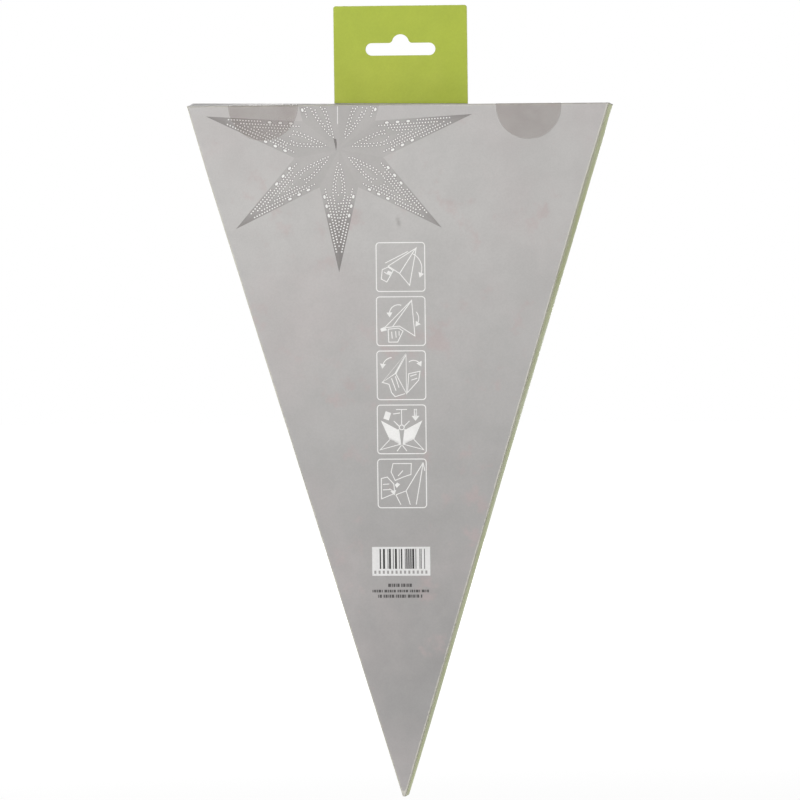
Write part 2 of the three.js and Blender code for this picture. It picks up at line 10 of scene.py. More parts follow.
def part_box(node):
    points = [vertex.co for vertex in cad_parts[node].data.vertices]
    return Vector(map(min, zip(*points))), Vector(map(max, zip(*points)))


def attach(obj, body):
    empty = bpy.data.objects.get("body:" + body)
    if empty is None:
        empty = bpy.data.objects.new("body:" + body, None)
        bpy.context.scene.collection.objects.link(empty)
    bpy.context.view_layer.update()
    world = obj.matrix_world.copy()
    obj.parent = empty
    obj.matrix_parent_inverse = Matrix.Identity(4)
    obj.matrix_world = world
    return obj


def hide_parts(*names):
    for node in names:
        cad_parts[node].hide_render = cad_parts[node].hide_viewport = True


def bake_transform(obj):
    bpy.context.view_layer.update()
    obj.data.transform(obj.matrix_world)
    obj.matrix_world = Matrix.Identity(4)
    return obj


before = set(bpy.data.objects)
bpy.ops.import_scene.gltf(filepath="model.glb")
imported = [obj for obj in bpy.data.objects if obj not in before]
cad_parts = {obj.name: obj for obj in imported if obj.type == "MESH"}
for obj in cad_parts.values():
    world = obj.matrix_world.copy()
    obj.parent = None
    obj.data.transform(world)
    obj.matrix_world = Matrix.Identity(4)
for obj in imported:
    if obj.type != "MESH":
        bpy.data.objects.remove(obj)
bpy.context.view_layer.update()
MM = 0.001
X, Y, Z = 0, 1, 2
JOIN = 1e-6
SHARP_SHADING = math.radians(35)

# Planes of the carton, taken from the frame
LID_LOW, LID_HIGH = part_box("lid")
FRONT_LOW, FRONT_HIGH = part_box("front_panel")
BACK_LOW, BACK_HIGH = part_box("back_panel")
HALF = LID_HIGH.x
LID_TOP = LID_HIGH.z
TIP = FRONT_LOW.z
BACK = BACK_LOW.y
FRONT = FRONT_HIGH.y
BOARD = BACK_HIGH.y - BACK_LOW.y
TIP_HALF = 0.65 * MM
SLOPE = (HALF - TIP_HALF) / (LID_TOP - TIP)
LEAN = math.atan(SLOPE)
LEFT_OUT = Vector((-math.cos(LEAN), 0, -math.sin(LEAN)))
RIGHT_OUT = Vector((math.cos(LEAN), 0, -math.sin(LEAN)))
BACK_OUT = Vector((0, -1, 0))
FRONT_OUT = Vector((0, 1, 0))
UPWARDS = Vector((0, 0, 1))

# Board: seams, creases and cells
SEAM = 0.02 * MM
MOUTH = LID_LOW.z - SEAM
CREASE_ROLL = 0.45 * MM
EDGE_ROLL = 0.6 * MM
CREASE_STEPS = 5
HINGE_BEND = 2 * MM
HINGE_STEPS = 6
LIP_TURN = math.radians(60)
CREASE_MIDDLE = math.cos(math.radians(44))
CELL = 5 * MM
WALL_CELL = 1.5 * MM
TUCK_CORNER = 5 * MM
TUCK_INSET = 2 * SEAM

# Board: rubbed edges, which also carry painted highlight and sheen along the creases
WEAR_REACH = 1.1 * MM
LID_CUTS = (WEAR_REACH, 6 * MM, 12 * MM)
WALL_WEAR_AND_SHEEN_REACH = 5 * MM
TIP_WEAR_REACH = 4 * MM
QUIET_CREASE_SHARE = 0.35
MOUTH_WEAR = 0.4
LID_WEAR_AND_HIGHLIGHT = 0.7
LID_HIGHLIGHT_FALL = 0.6
TAB_RIM = 0.3 * MM
TAB_WEAR_REACH = 0.5 * MM
TAB_WEAR = 0.6

# Board: bows, ripples and the carton's stand out of true
PANEL_BOW = 0.5 * MM
WALL_BOW = 0.7 * MM
BOW_RUN = 45 * MM
RIPPLE = 0.1 * MM
RIPPLE_SCALE = 24
LID_SAG = 0.15 * MM
LID_RIPPLE_SCALE = 20
TUCK_RIPPLE_SCALE = 30
DUST_RIPPLE_SCALE = 60
BULGE = 0.75 * MM
BULGE_RISE = 12 * MM
BULGE_REACH = 170 * MM
BULGE_RUN = 106 * MM
SWAY = 0.55 * MM
SWAY_REACH = 34 * MM
RACKED_UP = 0.86 * MM
RACKED_DOWN = 1.3 * MM
RACKING_REACH = 70 * MM
FRONT_TIP_DROP = 1.4 * MM
FRONT_TIP_SHIFT = 0.7 * MM
FRONT_TIP_REACH = 30 * MM

# Slot of the hang tab
HUMP_RADIUS = 3.9 * MM
HUMP_SHOULDER = 1.3 * MM
HUMP_STEPS = 4

# Print on the back panel: across from the carton's axis and down from the lid's top
PRINT_AXIS = 1.85 * MM
PRINT_SKEW = 0.0095
INK_LIFT = 0.03 * MM
INK_BASE = 0.005 * MM

# Printed stars. Shares are of an arm's length, and units are of the star's own scale.
STAR_PLACE = (-25.8 * MM, 19.8 * MM)
STAR_TIPS = [
    (0, 55.2 * MM),
    (46.3 * MM, 35.5 * MM),
    (60 * MM, -15.2 * MM),
    (27 * MM, -52 * MM),
    (-27 * MM, -52 * MM),
    (-60 * MM, -15.2 * MM),
    (-46.6 * MM, 35.4 * MM),
]
STAR_TIP_SHADES = (1.35, 0.78, 0.86, 0.9, 0.9, 0.88, 0.87)
STAR_VALLEY_SHARE = 0.375
MARK_UNITS = 0.36
MARK_GAP_UNITS = 1.02
MARK_SHADE_UNITS = 0.24
MARK_SIDES = 8
THREES_UNITS = 0.58
THREES_INSET_UNITS = 1.2
THREES_STRETCH = 1.6
EDGE_THREES_SHARES = (0.12, 0.23, 0.34)
EDGE_PITCH_UNITS = 1.3
EDGE_CLEARANCE_UNITS = 0.5
EDGE_ROWS_SHARES = ((0.9, 0.42, 0.78), (2.3, 0.02, 0.74), (3.6, 0.12, 0.6), (4.9, 0.2, 0.44))
DROP_MARKS = ((38, 1.12), (24, 0.66))
DROP_PLACE_SHARE = 0.27
DROP_LENGTH_SHARE = 0.155
DROP_WIDTH_SHARE = 0.062
DROP_FULLNESS = 0.62
FOLD_ROW_SHARES = (0.46, 0.8)
FOLD_MARK_UNITS = 0.34
FOLD_PITCH_UNITS = 1.6
FRONT_STAR_PLACE = (0, 84 * MM)
FRONT_STAR_REACH = 72 * MM
FRONT_STAR_UNIT = 1.35 * MM

# Slit at the printed star's middle, in millimetres across and down from it, and the cord above the star
SLIT_OUTLINE = ((-2.4, -4.8), (-1.2, -4.6), (-0.9, -2.4), (-1.2, 0.9), (-1.7, -1.4))
CORD_ASIDE = 0.6 * MM
CORD_DEPTHS = (0.6 * MM, 8.6 * MM)
CORD_WIDTH = 0.3 * MM

# Pictograms
PICTOGRAM_SIZE = 22.3 * MM
PICTOGRAM_PITCH = 24.28 * MM
PICTOGRAM_FIRST = 72.75 * MM
PICTOGRAM_DRIFT = 0.13 * MM
PICTOGRAM_CORNER = 1.6 * MM
ARROW_HEAD_SHARE = 0.2
ARROW_HEAD_HALF = 0.6
MITRE_LIMIT = 0.35
LINE_WIDTH = 0.45 * MM
DRAWN_LINE_WIDTH = 0.4 * MM

# Smudge on the grey print
SMUDGE_PLACE = (1.0 * MM, 52.7 * MM)
SMUDGE_TURN = math.radians(-12)
SMUDGE_STRETCH = (0.6, 1, 1.5)
SMUDGE_RAGGEDNESS = 2.2 * MM
SMUDGE_CORE = 1.4 * MM
SMUDGE_REACH = 3.6 * MM

# Bar label: the bars and the gaps between them in turn, and the blocks below them
BAR_LABEL_DEPTH = 204.9 * MM
BAR_LABEL_SIZE = (26.2 * MM, 13 * MM)
LABEL_BAR_SHARES = (
    *(2, 3, 3, 4, 1, 1, 3, 3, 1, 2, 3, 3, 1, 2, 2, 4, 1),
    *(1, 2, 1, 2, 1, 2, 1, 3, 2, 1, 5, 1, 1, 1, 4, 1, 5),
)
LABEL_MARGIN = 0.9 * MM
LABEL_BARS_LEFT = 3.4 * MM
LABEL_BARS_FOOT = 3.1 * MM
LABEL_BLOCKS = 13
LABEL_BLOCK_PITCH = 1.92 * MM
LABEL_BLOCK_WIDTH = 0.9 * MM
LABEL_BLOCK_TOP = 2.3 * MM

# Small print: each row's depth, half width and half height, and the blocks' widths, in millimetres
SMALL_PRINT_ROWS = ((215.7, 5.8, 0.75), (218.3, 12.9, 0.6), (220.6, 10.3, 0.7))
SMALL_PRINT_WIDTHS = (1.3, 0.5, 0.8, 0.35, 1.0, 0.6, 0.9, 0.3, 0.7, 1.1, 0.45, 0.8, 0.6, 1.2, 0.4)
SMALL_PRINT_ASIDE = 0.1 * MM
SMALL_PRINT_LEAST = 0.5 * MM
SMALL_PRINT_GAP = 0.3 * MM
SMALL_PRINT_WORD = 5
SMALL_PRINT_WORD_GAP = 0.75 * MM

# Seals, cut from clear film
SEAL_FILM = 0.08 * MM
SEAL_LIFT = 0.06 * MM
SEAL_WRINKLE = 0.12 * MM
SEAL_WRINKLE_SCALE = 260
SEAL_WRINKLE_STRETCH = 0.35
SEAL_SEGMENTS = 72
SEAL_RIM = 0.5 * MM
SEAL_CELL = 2 * MM
SEAL_SLIDES = {"left": (0.0, 0.0), "right": (-0.6 * MM, 1.2 * MM)}

# Contents
SHARP_EDGE = math.radians(40)
CELL_NUB = 1.3 * MM
CELL_BAND_SHARE = 0.715
CELL_BAND_EDGE = 0.005
LAMPS = 6
LAMP_BASE = 10.36 * MM
LAMP_FLANGE = 2.9 * MM
LAMP_RADIUS = 2.5 * MM
LAMP_LENGTH = 9 * MM
LAMP_STEPS = 9
HUB_ROLL = 0.5 * MM
HUB_SUNK = 0.6 * MM
HUB_RIM = 1.8 * MM
NECK_WIDTH = 8.6 * MM
NECK_ROLL = 0.5 * MM
PAD_CRUSH = 0.2 * MM
STEM_BORE = 1.8 * MM
STEM_EDGE = 0.3 * MM

# Camera, solved from the carton's edges in the photograph
CAMERA_YAW = math.radians(6.015)
CAMERA_PITCH = math.radians(3.337)
CAMERA_ROLL = math.radians(-0.677)
CAMERA_DISTANCE = 3.5
CAMERA_AIM = Vector((-1.046 * MM, -10 * MM, -160.315 * MM))
CAMERA_LENS = 350.2
SENSOR_WIDTH = 36

# Studio: floor, world and lamps, each with its place, width and power
FLOOR_DROP = 80 * MM
FLOOR_HALF = 4
FLOOR_GLOW = (0.84, 1.0)
FLOOR_GLOW_RUN = (0.6, 1.6)
WORLD_LEVEL = 0.32
STUDIO_LAMPS = (
    ("key_lamp", (-0.8, -1.4, 0.25), 1.0, 18),
    ("fill_lamp", (2.1, -1.7, -0.35), 1.6, 13.5),
    ("back_lamp", (-0.7, 2.4, -0.3), 1.8, 44),
    ("side_lamp", (2.6, 0.5, -0.1), 1.2, 4),
)


def clamp(value):
    return min(1.0, max(0.0, value))


def linear(red, green, blue):
    """A screen colour of 0 to 255 as the linear colour that a shader takes."""
    values = [channel / 255 for channel in (red, green, blue)]
    return tuple(v / 12.92 if v < 0.04045 else ((v + 0.055) / 1.055) ** 2.4 for v in values) + (1.0,)


def on_print(across, down):
    """A place of the artwork in the carton's frame: the print runs a little off the carton's axis."""
    return across - PRINT_SKEW * down, LID_TOP - down


def on_front(across, down):
    return across, LID_TOP - down


# Shader nodes


def put(tree, kind, **settings):
    node = tree.nodes.new(kind)
    for name, value in settings.items():
        setattr(node, name, value)
    return node


def feed(tree, target, value):
    """Joins a socket to another, or writes a plain value on it."""
    if isinstance(value, bpy.types.NodeSocket):
        tree.links.new(value, target)
    else:
        target.default_value = value


def calculate(tree, operation, first, second):
    node = put(tree, "ShaderNodeMath", operation=operation)
    feed(tree, node.inputs[0], first)
    feed(tree, node.inputs[1], second)
    return node.outputs[0]


def times(tree, first, second):
    return calculate(tree, "MULTIPLY", first, second)


def plus(tree, first, second):
    return calculate(tree, "ADD", first, second)


def grade(tree, value, low, high, to_low=0.0, to_high=1.0, smooth=True):
    node = put(tree, "ShaderNodeMapRange", interpolation_type="SMOOTHSTEP" if smooth else "LINEAR")
    for target, given in zip(node.inputs, (value, low, high, to_low, to_high)):
        feed(tree, target, given)
    return node.outputs[0]


def mingle(tree, share, first, second, blend="MIX"):
    node = put(tree, "ShaderNodeMix", data_type="RGBA", blend_type=blend)
    feed(tree, node.inputs[0], share)
    feed(tree, node.inputs[6], first)
    feed(tree, node.inputs[7], second)
    return node.outputs[2]


def clouds(tree, vector, scale, detail=3.0, roughness=0.55, stretch=(1, 1, 1)):
    mapping = put(tree, "ShaderNodeMapping")
    feed(tree, mapping.inputs["Vector"], vector)
    mapping.inputs["Scale"].default_value = stretch
    node = put(tree, "ShaderNodeTexNoise")
    tree.links.new(mapping.outputs[0], node.inputs["Vector"])
    node.inputs["Scale"].default_value = scale
    node.inputs["Detail"].default_value = detail
    node.inputs["Roughness"].default_value = roughness
    return node.outputs["Fac"]


def new_group(name, inputs, outputs):
    group = bpy.data.node_groups.new(name, "ShaderNodeTree")
    for label, kind, value in inputs:
        socket = group.interface.new_socket(label, in_out="INPUT", socket_type=kind)
        if value is not None:
            socket.default_value = value
    for label, kind in outputs:
        group.interface.new_socket(label, in_out="OUTPUT", socket_type=kind)
    return group, put(group, "NodeGroupInput").outputs, put(group, "NodeGroupOutput").inputs


VECTOR = "NodeSocketVector"
COLOUR = "NodeSocketColor"
VALUE = "NodeSocketFloat"
SURFACE = [("Color", COLOUR), ("Roughness", VALUE), ("Height", VALUE)]


def printed_board_group():
    """Ink on folding board: cloudy ink, a fine print grain, and pale fibre where creases are rubbed, which also
    stands for painted highlight and sheen along them.
    """
    tree, given, out = new_group(
        "printed_board",
        [
            ("Vector", VECTOR, None),
            ("Ink", COLOUR, (0.5, 0.5, 0.5, 1)),
            ("Cloud", COLOUR, (0.5, 0.5, 0.5, 1)),
            ("Fibre", COLOUR, (0.7, 0.7, 0.66, 1)),
            ("Cloudiness", VALUE, 0.5),
            ("Wear_and_highlight", VALUE, 0.0),
            ("Pale_edge_strength", VALUE, 0.6),
            ("Dullness", VALUE, 0.62),
        ],
        SURFACE,
    )
    vector = given["Vector"]
    broad = grade(tree, clouds(tree, vector, 13, 4, 0.6), 0.42, 0.68)
    tinted = mingle(tree, times(tree, broad, given["Cloudiness"]), given["Ink"], given["Cloud"])
    patch = grade(tree, clouds(tree, vector, 60, 3, 0.6), 0.3, 0.7, 0.965, 1.03)
    grain = grade(tree, clouds(tree, vector, 1300, 2, 0.5), 0.3, 0.7, 0.975, 1.02)
    shade = times(tree, patch, grain)
    inked = mingle(tree, 1.0, tinted, shade, "MULTIPLY")
    # The pale edge mask below is rubbed fibre and also painted crease highlight.
    ragged = grade(tree, clouds(tree, vector, 900, 4, 0.7), 0.3, 0.72, 0.35, 1.3)
    streak = grade(tree, clouds(tree, vector, 70, 2, 0.5), 0.35, 0.62, 0.6, 1.0)
    pale_edge_amount = times(tree, times(tree, given["Wear_and_highlight"], ragged), streak)
    mask = times(tree, grade(tree, pale_edge_amount, 0.08, 0.55), given["Pale_edge_strength"])
    feed(tree, out["Color"], mingle(tree, mask, inked, given["Fibre"]))
    sheen = grade(tree, clouds(tree, vector, 40, 3, 0.6), 0.3, 0.7, 0.9, 1.1)
    dull = times(tree, sheen, given["Dullness"])
    feed(tree, out["Roughness"], plus(tree, dull, times(tree, mask, 0.35)))
    peel = times(tree, clouds(tree, vector, 420, 3, 0.55), 0.6)
    felt = times(tree, times(tree, ragged, mask), 0.8)
    feed(tree, out["Height"], plus(tree, peel, felt))
    return tree


def fibre_group():
    """Pressed fibre, such as raw board, paper or felt: matted threads and darker flecks."""
    tree, given, out = new_group(
        "pressed_fibre",
        [
            ("Vector", VECTOR, None),
            ("Pulp", COLOUR, (0.6, 0.58, 0.54, 1)),
            ("Fleck", COLOUR, (0.35, 0.32, 0.28, 1)),
            ("Flecks", VALUE, 0.3),
            ("Dullness", VALUE, 0.85),
        ],
        SURFACE,
    )
    vector = given["Vector"]
    across = clouds(tree, vector, 900, 3, 0.6, (1, 1, 0.18))
    along = clouds(tree, vector, 900, 3, 0.6, (0.18, 1, 1))
    mat = times(tree, plus(tree, across, along), 0.5)
    mottle = grade(tree, clouds(tree, vector, 90, 4, 0.6), 0.3, 0.7, 0.94, 1.04)
    tone = times(tree, grade(tree, mat, 0.35, 0.65, 0.93, 1.04), mottle)
    speck = grade(tree, clouds(tree, vector, 1500, 2, 0.5), 0.66, 0.74)
    pulp = mingle(tree, 1.0, given["Pulp"], tone, "MULTIPLY")
    feed(tree, out["Color"], mingle(tree, times(tree, speck, given["Flecks"]), pulp, given["Fleck"]))
    sheen = grade(tree, mat, 0.3, 0.7, 0.95, 1.04)
    feed(tree, out["Roughness"], times(tree, given["Dullness"], sheen))
    feed(tree, out["Height"], mat)
    return tree


def moulded_group():
    """Moulded plastic or rubber: a fine spark-worn skin, faint flow lines and a little handling dirt."""
    tree, given, out = new_group(
        "moulded_skin",
        [
            ("Vector", VECTOR, None),
            ("Resin", COLOUR, (0.8, 0.8, 0.8, 1)),
            ("Grime", COLOUR, (0.4, 0.37, 0.33, 1)),
            ("Skin", VALUE, 0.45),
            ("Handled", VALUE, 0.15),
        ],
        SURFACE,
    )
    vector = given["Vector"]
    spark = clouds(tree, vector, 2600, 2, 0.5)
    flow = clouds(tree, vector, 55, 3, 0.6, (1, 1, 0.25))
    tone = grade(tree, flow, 0.3, 0.7, 0.965, 1.02)
    resin = mingle(tree, 1.0, given["Resin"], tone, "MULTIPLY")
    dirt = times(tree, grade(tree, clouds(tree, vector, 160, 5, 0.7), 0.5, 0.78), given["Handled"])
    feed(tree, out["Color"], mingle(tree, dirt, resin, given["Grime"]))
    polish = grade(tree, clouds(tree, vector, 110, 3, 0.6), 0.3, 0.7, 0.9, 1.12)
    feed(tree, out["Roughness"], times(tree, given["Skin"], polish))
    feed(tree, out["Height"], spark)
    return tree


GROUPS = {
    "printed_board": printed_board_group(),
    "pressed_fibre": fibre_group(),
    "moulded_skin": moulded_group(),
}


class Finish:
    """A material with one Principled shader, and the group that gives its surface."""

    def __init__(self, name, group, relief, **values):
        self.material = bpy.data.materials.new(name)
        self.material.use_nodes = True
        self.tree = self.material.node_tree
        self.shader = self.tree.nodes["Principled BSDF"]
        self.place = put(self.tree, "ShaderNodeTexCoord").outputs["Object"]
        self.surface = put(self.tree, "ShaderNodeGroup", node_tree=GROUPS[group])
        feed(self.tree, self.surface.inputs["Vector"], self.place)
        for label, value in values.items():
            feed(self.tree, self.surface.inputs[label], value)
        self.relief = relief

    def attribute(self, name):
        return put(self.tree, "ShaderNodeAttribute", attribute_name=name).outputs["Fac"]

    def finish(self, height=None, **sockets):
        """Joins the surface to the shader, with its relief as a bump."""
        bump = put(self.tree, "ShaderNodeBump")
        bump.inputs["Strength"].default_value, bump.inputs["Distance"].default_value = self.relief
        feed(self.tree, bump.inputs["Height"], height or self.surface.outputs["Height"])
        feed(self.tree, self.shader.inputs["Normal"], bump.outputs[0])
        feed(self.tree, self.shader.inputs["Base Color"], self.surface.outputs["Color"])
        feed(self.tree, self.shader.inputs["Roughness"], self.surface.outputs["Roughness"])
        for label, value in sockets.items():
            feed(self.tree, self.shader.inputs[label.replace("_", " ")], value)
        return self.material


# Finishes

GREY_LIT_TOP = linear(188, 186, 184)
GREY_SHADED_LOW = linear(160, 158, 157)
GREY_SHADED_TIP = linear(168, 166, 165)
GREY_CLOUD = linear(187, 180, 179)
GREY_STAIN = linear(184, 168, 167)
SMUDGE_TONE = linear(140, 134, 132)
GREEN_INK = linear(172, 186, 70)
GREEN_CLOUD = linear(178, 187, 78)
RAW_PULP = linear(206, 203, 195)
PALE_FIBRE_AND_HIGHLIGHT = linear(222, 220, 206)
STEEL = linear(196, 198, 200)


def grey_print():
    """The back panel's warm grey with one smudge, and painted shade: the grey darkens from the lid downwards,
    most a little above the tip.
    """
    relief = (0.12, 0.15 * MM)
    made = Finish("grey_print", "printed_board", relief, Cloud=GREY_CLOUD, Fibre=PALE_FIBRE_AND_HIGHLIGHT, Cloudiness=0.5)
    tree = made.tree
    # Painted shade: the grey is lightest at the lid and darkens downwards, darkest a little above the tip, as
    # falling-off light would make it.
    parts = put(tree, "ShaderNodeSeparateXYZ")
    feed(tree, parts.inputs[0], made.place)
    height = grade(tree, parts.outputs["Z"], TIP, LID_TOP, smooth=False)
    upper = mingle(tree, grade(tree, height, 0.2, 0.85, smooth=False), GREY_SHADED_LOW, GREY_LIT_TOP)
    painted_falloff = mingle(tree, grade(tree, height, 0.0, 0.2), GREY_SHADED_TIP, upper)
    blotch = grade(tree, clouds(tree, made.place, 65, 4, 0.65), 0.56, 0.7, 0.0, 0.5)
    stained = mingle(tree, blotch, painted_falloff, GREY_STAIN)
    ragged = times(tree, clouds(tree, made.place, 700, 3, 0.6), SMUDGE_RAGGEDNESS)
    across, up = on_print(*SMUDGE_PLACE)
    about = put(tree, "ShaderNodeMapping", vector_type="TEXTURE")
    feed(tree, about.inputs["Vector"], made.place)
    about.inputs["Location"].default_value = (across, BACK, up)
    about.inputs["Rotation"].default_value = (0, SMUDGE_TURN, 0)
    about.inputs["Scale"].default_value = SMUDGE_STRETCH
    smudge = put(tree, "ShaderNodeVectorMath", operation="LENGTH")
    feed(tree, smudge.inputs[0], about.outputs[0])
    reach = plus(tree, smudge.outputs["Value"], ragged)
    mark = grade(tree, reach, SMUDGE_CORE, SMUDGE_REACH, 0.5, 0.0)
    feed(tree, made.surface.inputs["Ink"], mingle(tree, mark, stained, SMUDGE_TONE))
    feed(tree, made.surface.inputs["Wear_and_highlight"], made.attribute("wear_and_highlight"))
    return made.finish(Specular_IOR_Level=0.25)


def green_print(name, ink, dullness, specular):
    values = {"Ink": ink, "Cloud": GREEN_CLOUD, "Fibre": PALE_FIBRE_AND_HIGHLIGHT, "Cloudiness": 0.6, "Dullness": dullness}
    made = Finish(name, "printed_board", (0.12, 0.15 * MM), **values)
    feed(made.tree, made.surface.inputs["Wear_and_highlight"], made.attribute("wear_and_highlight"))
    return made.finish(Specular_IOR_Level=specular)


def fibre(name, relief, pulp, fleck, flecks):
    return Finish(name, "pressed_fibre", relief, Pulp=pulp, Fleck=fleck, Flecks=flecks).finish()


def plain_ink(name, colour):
    cloud = tuple(channel * 0.93 for channel in colour[:3]) + (1.0,)
    return Finish(name, "printed_board", (0.1, 0.1 * MM), Ink=colour, Cloud=cloud, Cloudiness=0.2).finish()


def star_ink(name, light, dark):
    """Ink of the printed star: two tones each side of a fold, darkening towards each tip."""
    made = Finish(name, "printed_board", (0.1, 0.1 * MM), Cloudiness=0.15)
    shadow = grade(made.tree, made.attribute("reach"), 0.38, 0.95, 0.0, 0.85)
    fold = times(made.tree, made.attribute("fold"), 0.07)
    share = plus(made.tree, shadow, fold)
    share.node.use_clamp = True
    tone = mingle(made.tree, share, light, dark)
    feed(made.tree, made.surface.inputs["Ink"], tone)
    feed(made.tree, made.surface.inputs["Cloud"], tone)
    return made.finish()


def clear_film():
    """Clouded adhesive film: you look through it, and it warms and darkens the print."""
    grime = linear(120, 100, 92)
    made = Finish("clear_film", "moulded_skin", (0.15, 0.1 * MM), Grime=grime, Skin=0.28, Handled=0.35)
    edge = made.attribute("rim")
    tone = mingle(made.tree, edge, linear(138, 118, 108), linear(224, 221, 216))
    feed(made.tree, made.surface.inputs["Resin"], tone)
    rim = grade(made.tree, edge, 0.0, 1.0, 0.1, 0.22)
    milk = grade(made.tree, clouds(made.tree, made.place, 120, 4, 0.6), 0.3, 0.75, -0.02, 0.03)
    return made.finish(Alpha=plus(made.tree, rim, milk))


def moulded(name, colour, skin=0.45, handled=0.12, relief=(0.12, 0.05 * MM), **sockets):
    made = Finish(name, "moulded_skin", relief, Resin=colour, Skin=skin, Handled=handled)
    return made.finish(**sockets)


def plated_steel():
    """Steel strip with the fine lines of its drawing."""
    made = Finish("plated_steel", "moulded_skin", (0.1, 0.03 * MM), Resin=STEEL, Skin=0.3, Handled=0.1)
    drawn = clouds(made.tree, made.place, 1400, 3, 0.6, (1, 1, 0.03))
    return made.finish(height=drawn, Metallic=1.0)


def cell_sleeve():
    """A plain shrink sleeve with a copper band at the cell's plus end."""
    made = Finish("cell_sleeve", "moulded_skin", (0.08, 0.05 * MM), Skin=0.25, Handled=0.08)
    along = made.attribute("along")
    band = grade(made.tree, along, CELL_BAND_SHARE, CELL_BAND_SHARE + CELL_BAND_EDGE)
    sleeve_tone = mingle(made.tree, band, linear(62, 68, 74), linear(190, 130, 84))
    metal = grade(made.tree, along, 0.965, 0.97)
    feed(made.tree, made.surface.inputs["Resin"], mingle(made.tree, metal, sleeve_tone, STEEL))
    return made.finish(Metallic=metal)


def circuit_laminate():
    """Solder mask with copper tracks that show as paler lines."""
    made = Finish("circuit_laminate", "moulded_skin", (0.1, 0.05 * MM), Skin=0.35, Handled=0.05)
    laid = put(made.tree, "ShaderNodeMapping")
    laid.inputs["Rotation"].default_value = (0, math.radians(90), math.radians(90))
    feed(made.tree, laid.inputs["Vector"], made.place)
    lanes = put(made.tree, "ShaderNodeTexBrick")
    feed(made.tree, lanes.inputs["Vector"], laid.outputs[0])
    lanes.inputs["Scale"].default_value = 300
    lanes.inputs["Mortar Size"].default_value = 0.02
    tone = mingle(made.tree, lanes.outputs["Fac"], linear(34, 98, 62), linear(66, 140, 92))
    feed(made.tree, made.surface.inputs["Resin"], tone)
    return made.finish()


grey = grey_print()
green = green_print("green_print", GREEN_INK, 0.62, 0.25)
# Painted sheen and shade: the walls get a greyer, duller copy of the front's green, as that green looks on
# walls seen edge on.
glossy_sheen_shaded_green = green_print("glossy_sheen_shaded_green_print", linear(169, 177, 102), 0.38, 0.5)
raw = fibre("raw_board", (0.25, 0.2 * MM), RAW_PULP, linear(150, 143, 132), 0.35)
white_ink = plain_ink("white_ink", linear(236, 235, 233))
label_ink = plain_ink("label_ink", linear(227, 226, 225))
black_ink = plain_ink("black_ink", linear(34, 33, 33))
fine_ink = plain_ink("fine_ink", linear(72, 70, 69))
pale_ink = plain_ink("pale_ink", linear(158, 156, 154))
slit_ink = plain_ink("slit_ink", linear(118, 114, 112))
grey_star_ink = star_ink("grey_star_ink", linear(175, 172, 170), linear(125, 121, 119))
grey_shade_ink = plain_ink("grey_shade_ink", linear(140, 136, 134))
ivory_shade_ink = plain_ink("ivory_shade_ink", linear(214, 206, 176))
ivory_star_ink = star_ink("ivory_star_ink", linear(240, 236, 222), linear(205, 198, 160))
film = clear_film()
star_paper = fibre("star_paper", (0.3, 0.15 * MM), linear(244, 241, 233), linear(214, 208, 196), 0.25)
hooks = fibre("hook_pile", (0.8, 0.3 * MM), linear(232, 231, 226), linear(170, 168, 160), 0.5)
white_plastic = moulded("white_plastic", linear(238, 236, 229))
black_plastic = moulded("black_plastic", linear(40, 40, 41), 0.5, 0.2)
grey_rubber = moulded("grey_rubber", linear(139, 141, 142), 0.75, 0.2)
steel = plated_steel()
sleeve = cell_sleeve()
resin = moulded(
    "lamp_resin", linear(248, 240, 214), 0.12, 0.03, (0.05, 0.03 * MM), Transmission_Weight=0.55, Alpha=0.9
)
laminate = circuit_laminate()


# Pieces


def new_object(name, data):
    made = bpy.data.objects.new(name, data)
    bpy.context.scene.collection.objects.link(made)
    return made


def piece(name, bm, materials, body, replaces=()):
    """Makes a mesh an object, which rides on a body, or stays in place when given two bodies to bend between,
    and may stand for nodes.
    """
    if bm.calc_volume(signed=True) < 0:
        bmesh.ops.reverse_faces(bm, faces=bm.faces[:])
    mesh = bpy.data.meshes.new(name)
    bm.to_mesh(mesh)
    bm.free()
    for material in materials:
        mesh.materials.append(material)
    mesh.shade_smooth()
    mesh.set_sharp_from_angle(angle=SHARP_SHADING)
    made = new_object(name, mesh)
    if isinstance(body, tuple):
        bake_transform(made)
    else:
        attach(made, body)
    if replaces:
        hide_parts(*replaces)


def cut(bm, point, normal, drop_outer=False):
    """Cuts a mesh with a plane, and may drop what lies beyond it."""
    geometry = bm.verts[:] + bm.edges[:] + bm.faces[:]
    bmesh.ops.bisect_plane(
        bm, geom=geometry, dist=1e-7, plane_co=point, plane_no=normal, clear_outer=drop_outer
    )


def slice_at(bm, axis, place, drop_outer=False):
    normal = Vector((0, 0, 0))
    normal[axis] = 1
    cut(bm, normal * place, normal, drop_outer)


def rule_cells(bm, axis, step=CELL):
    """Cuts a mesh along one axis at every step, so that it can bow."""
    places = [v.co[axis] for v in bm.verts]
    for i in range(math.ceil(min(places) / step), math.floor(max(places) / step) + 1):
        slice_at(bm, axis, i * step)


def roll(bm, geometry, offset, segments=CREASE_STEPS, affect="EDGES", **settings):
    """Rounds edges, or the corners of a flat face."""
    bmesh.ops.bevel(
        bm, geom=geometry, offset=offset, affect=affect, segments=segments, profile=0.5, material=-1, **settings
    )


def grow(bm):
    """Doubles an open skin and closes its rim. Gives the corners and the faces of the second skin."""
    grown = bmesh.ops.extrude_face_region(bm, geom=bm.faces[:])["geom"]
    corners = [part for part in grown if isinstance(part, bmesh.types.BMVert)]
    return corners, [part for part in grown if isinstance(part, bmesh.types.BMFace)]


def keep_side(bm, outward, least=0.9):
    """Leaves only the faces that look one way."""
    bm.normal_update()
    others = [f for f in bm.faces if f.normal.dot(outward) < least]
    bmesh.ops.delete(bm, geom=others, context="FACES")


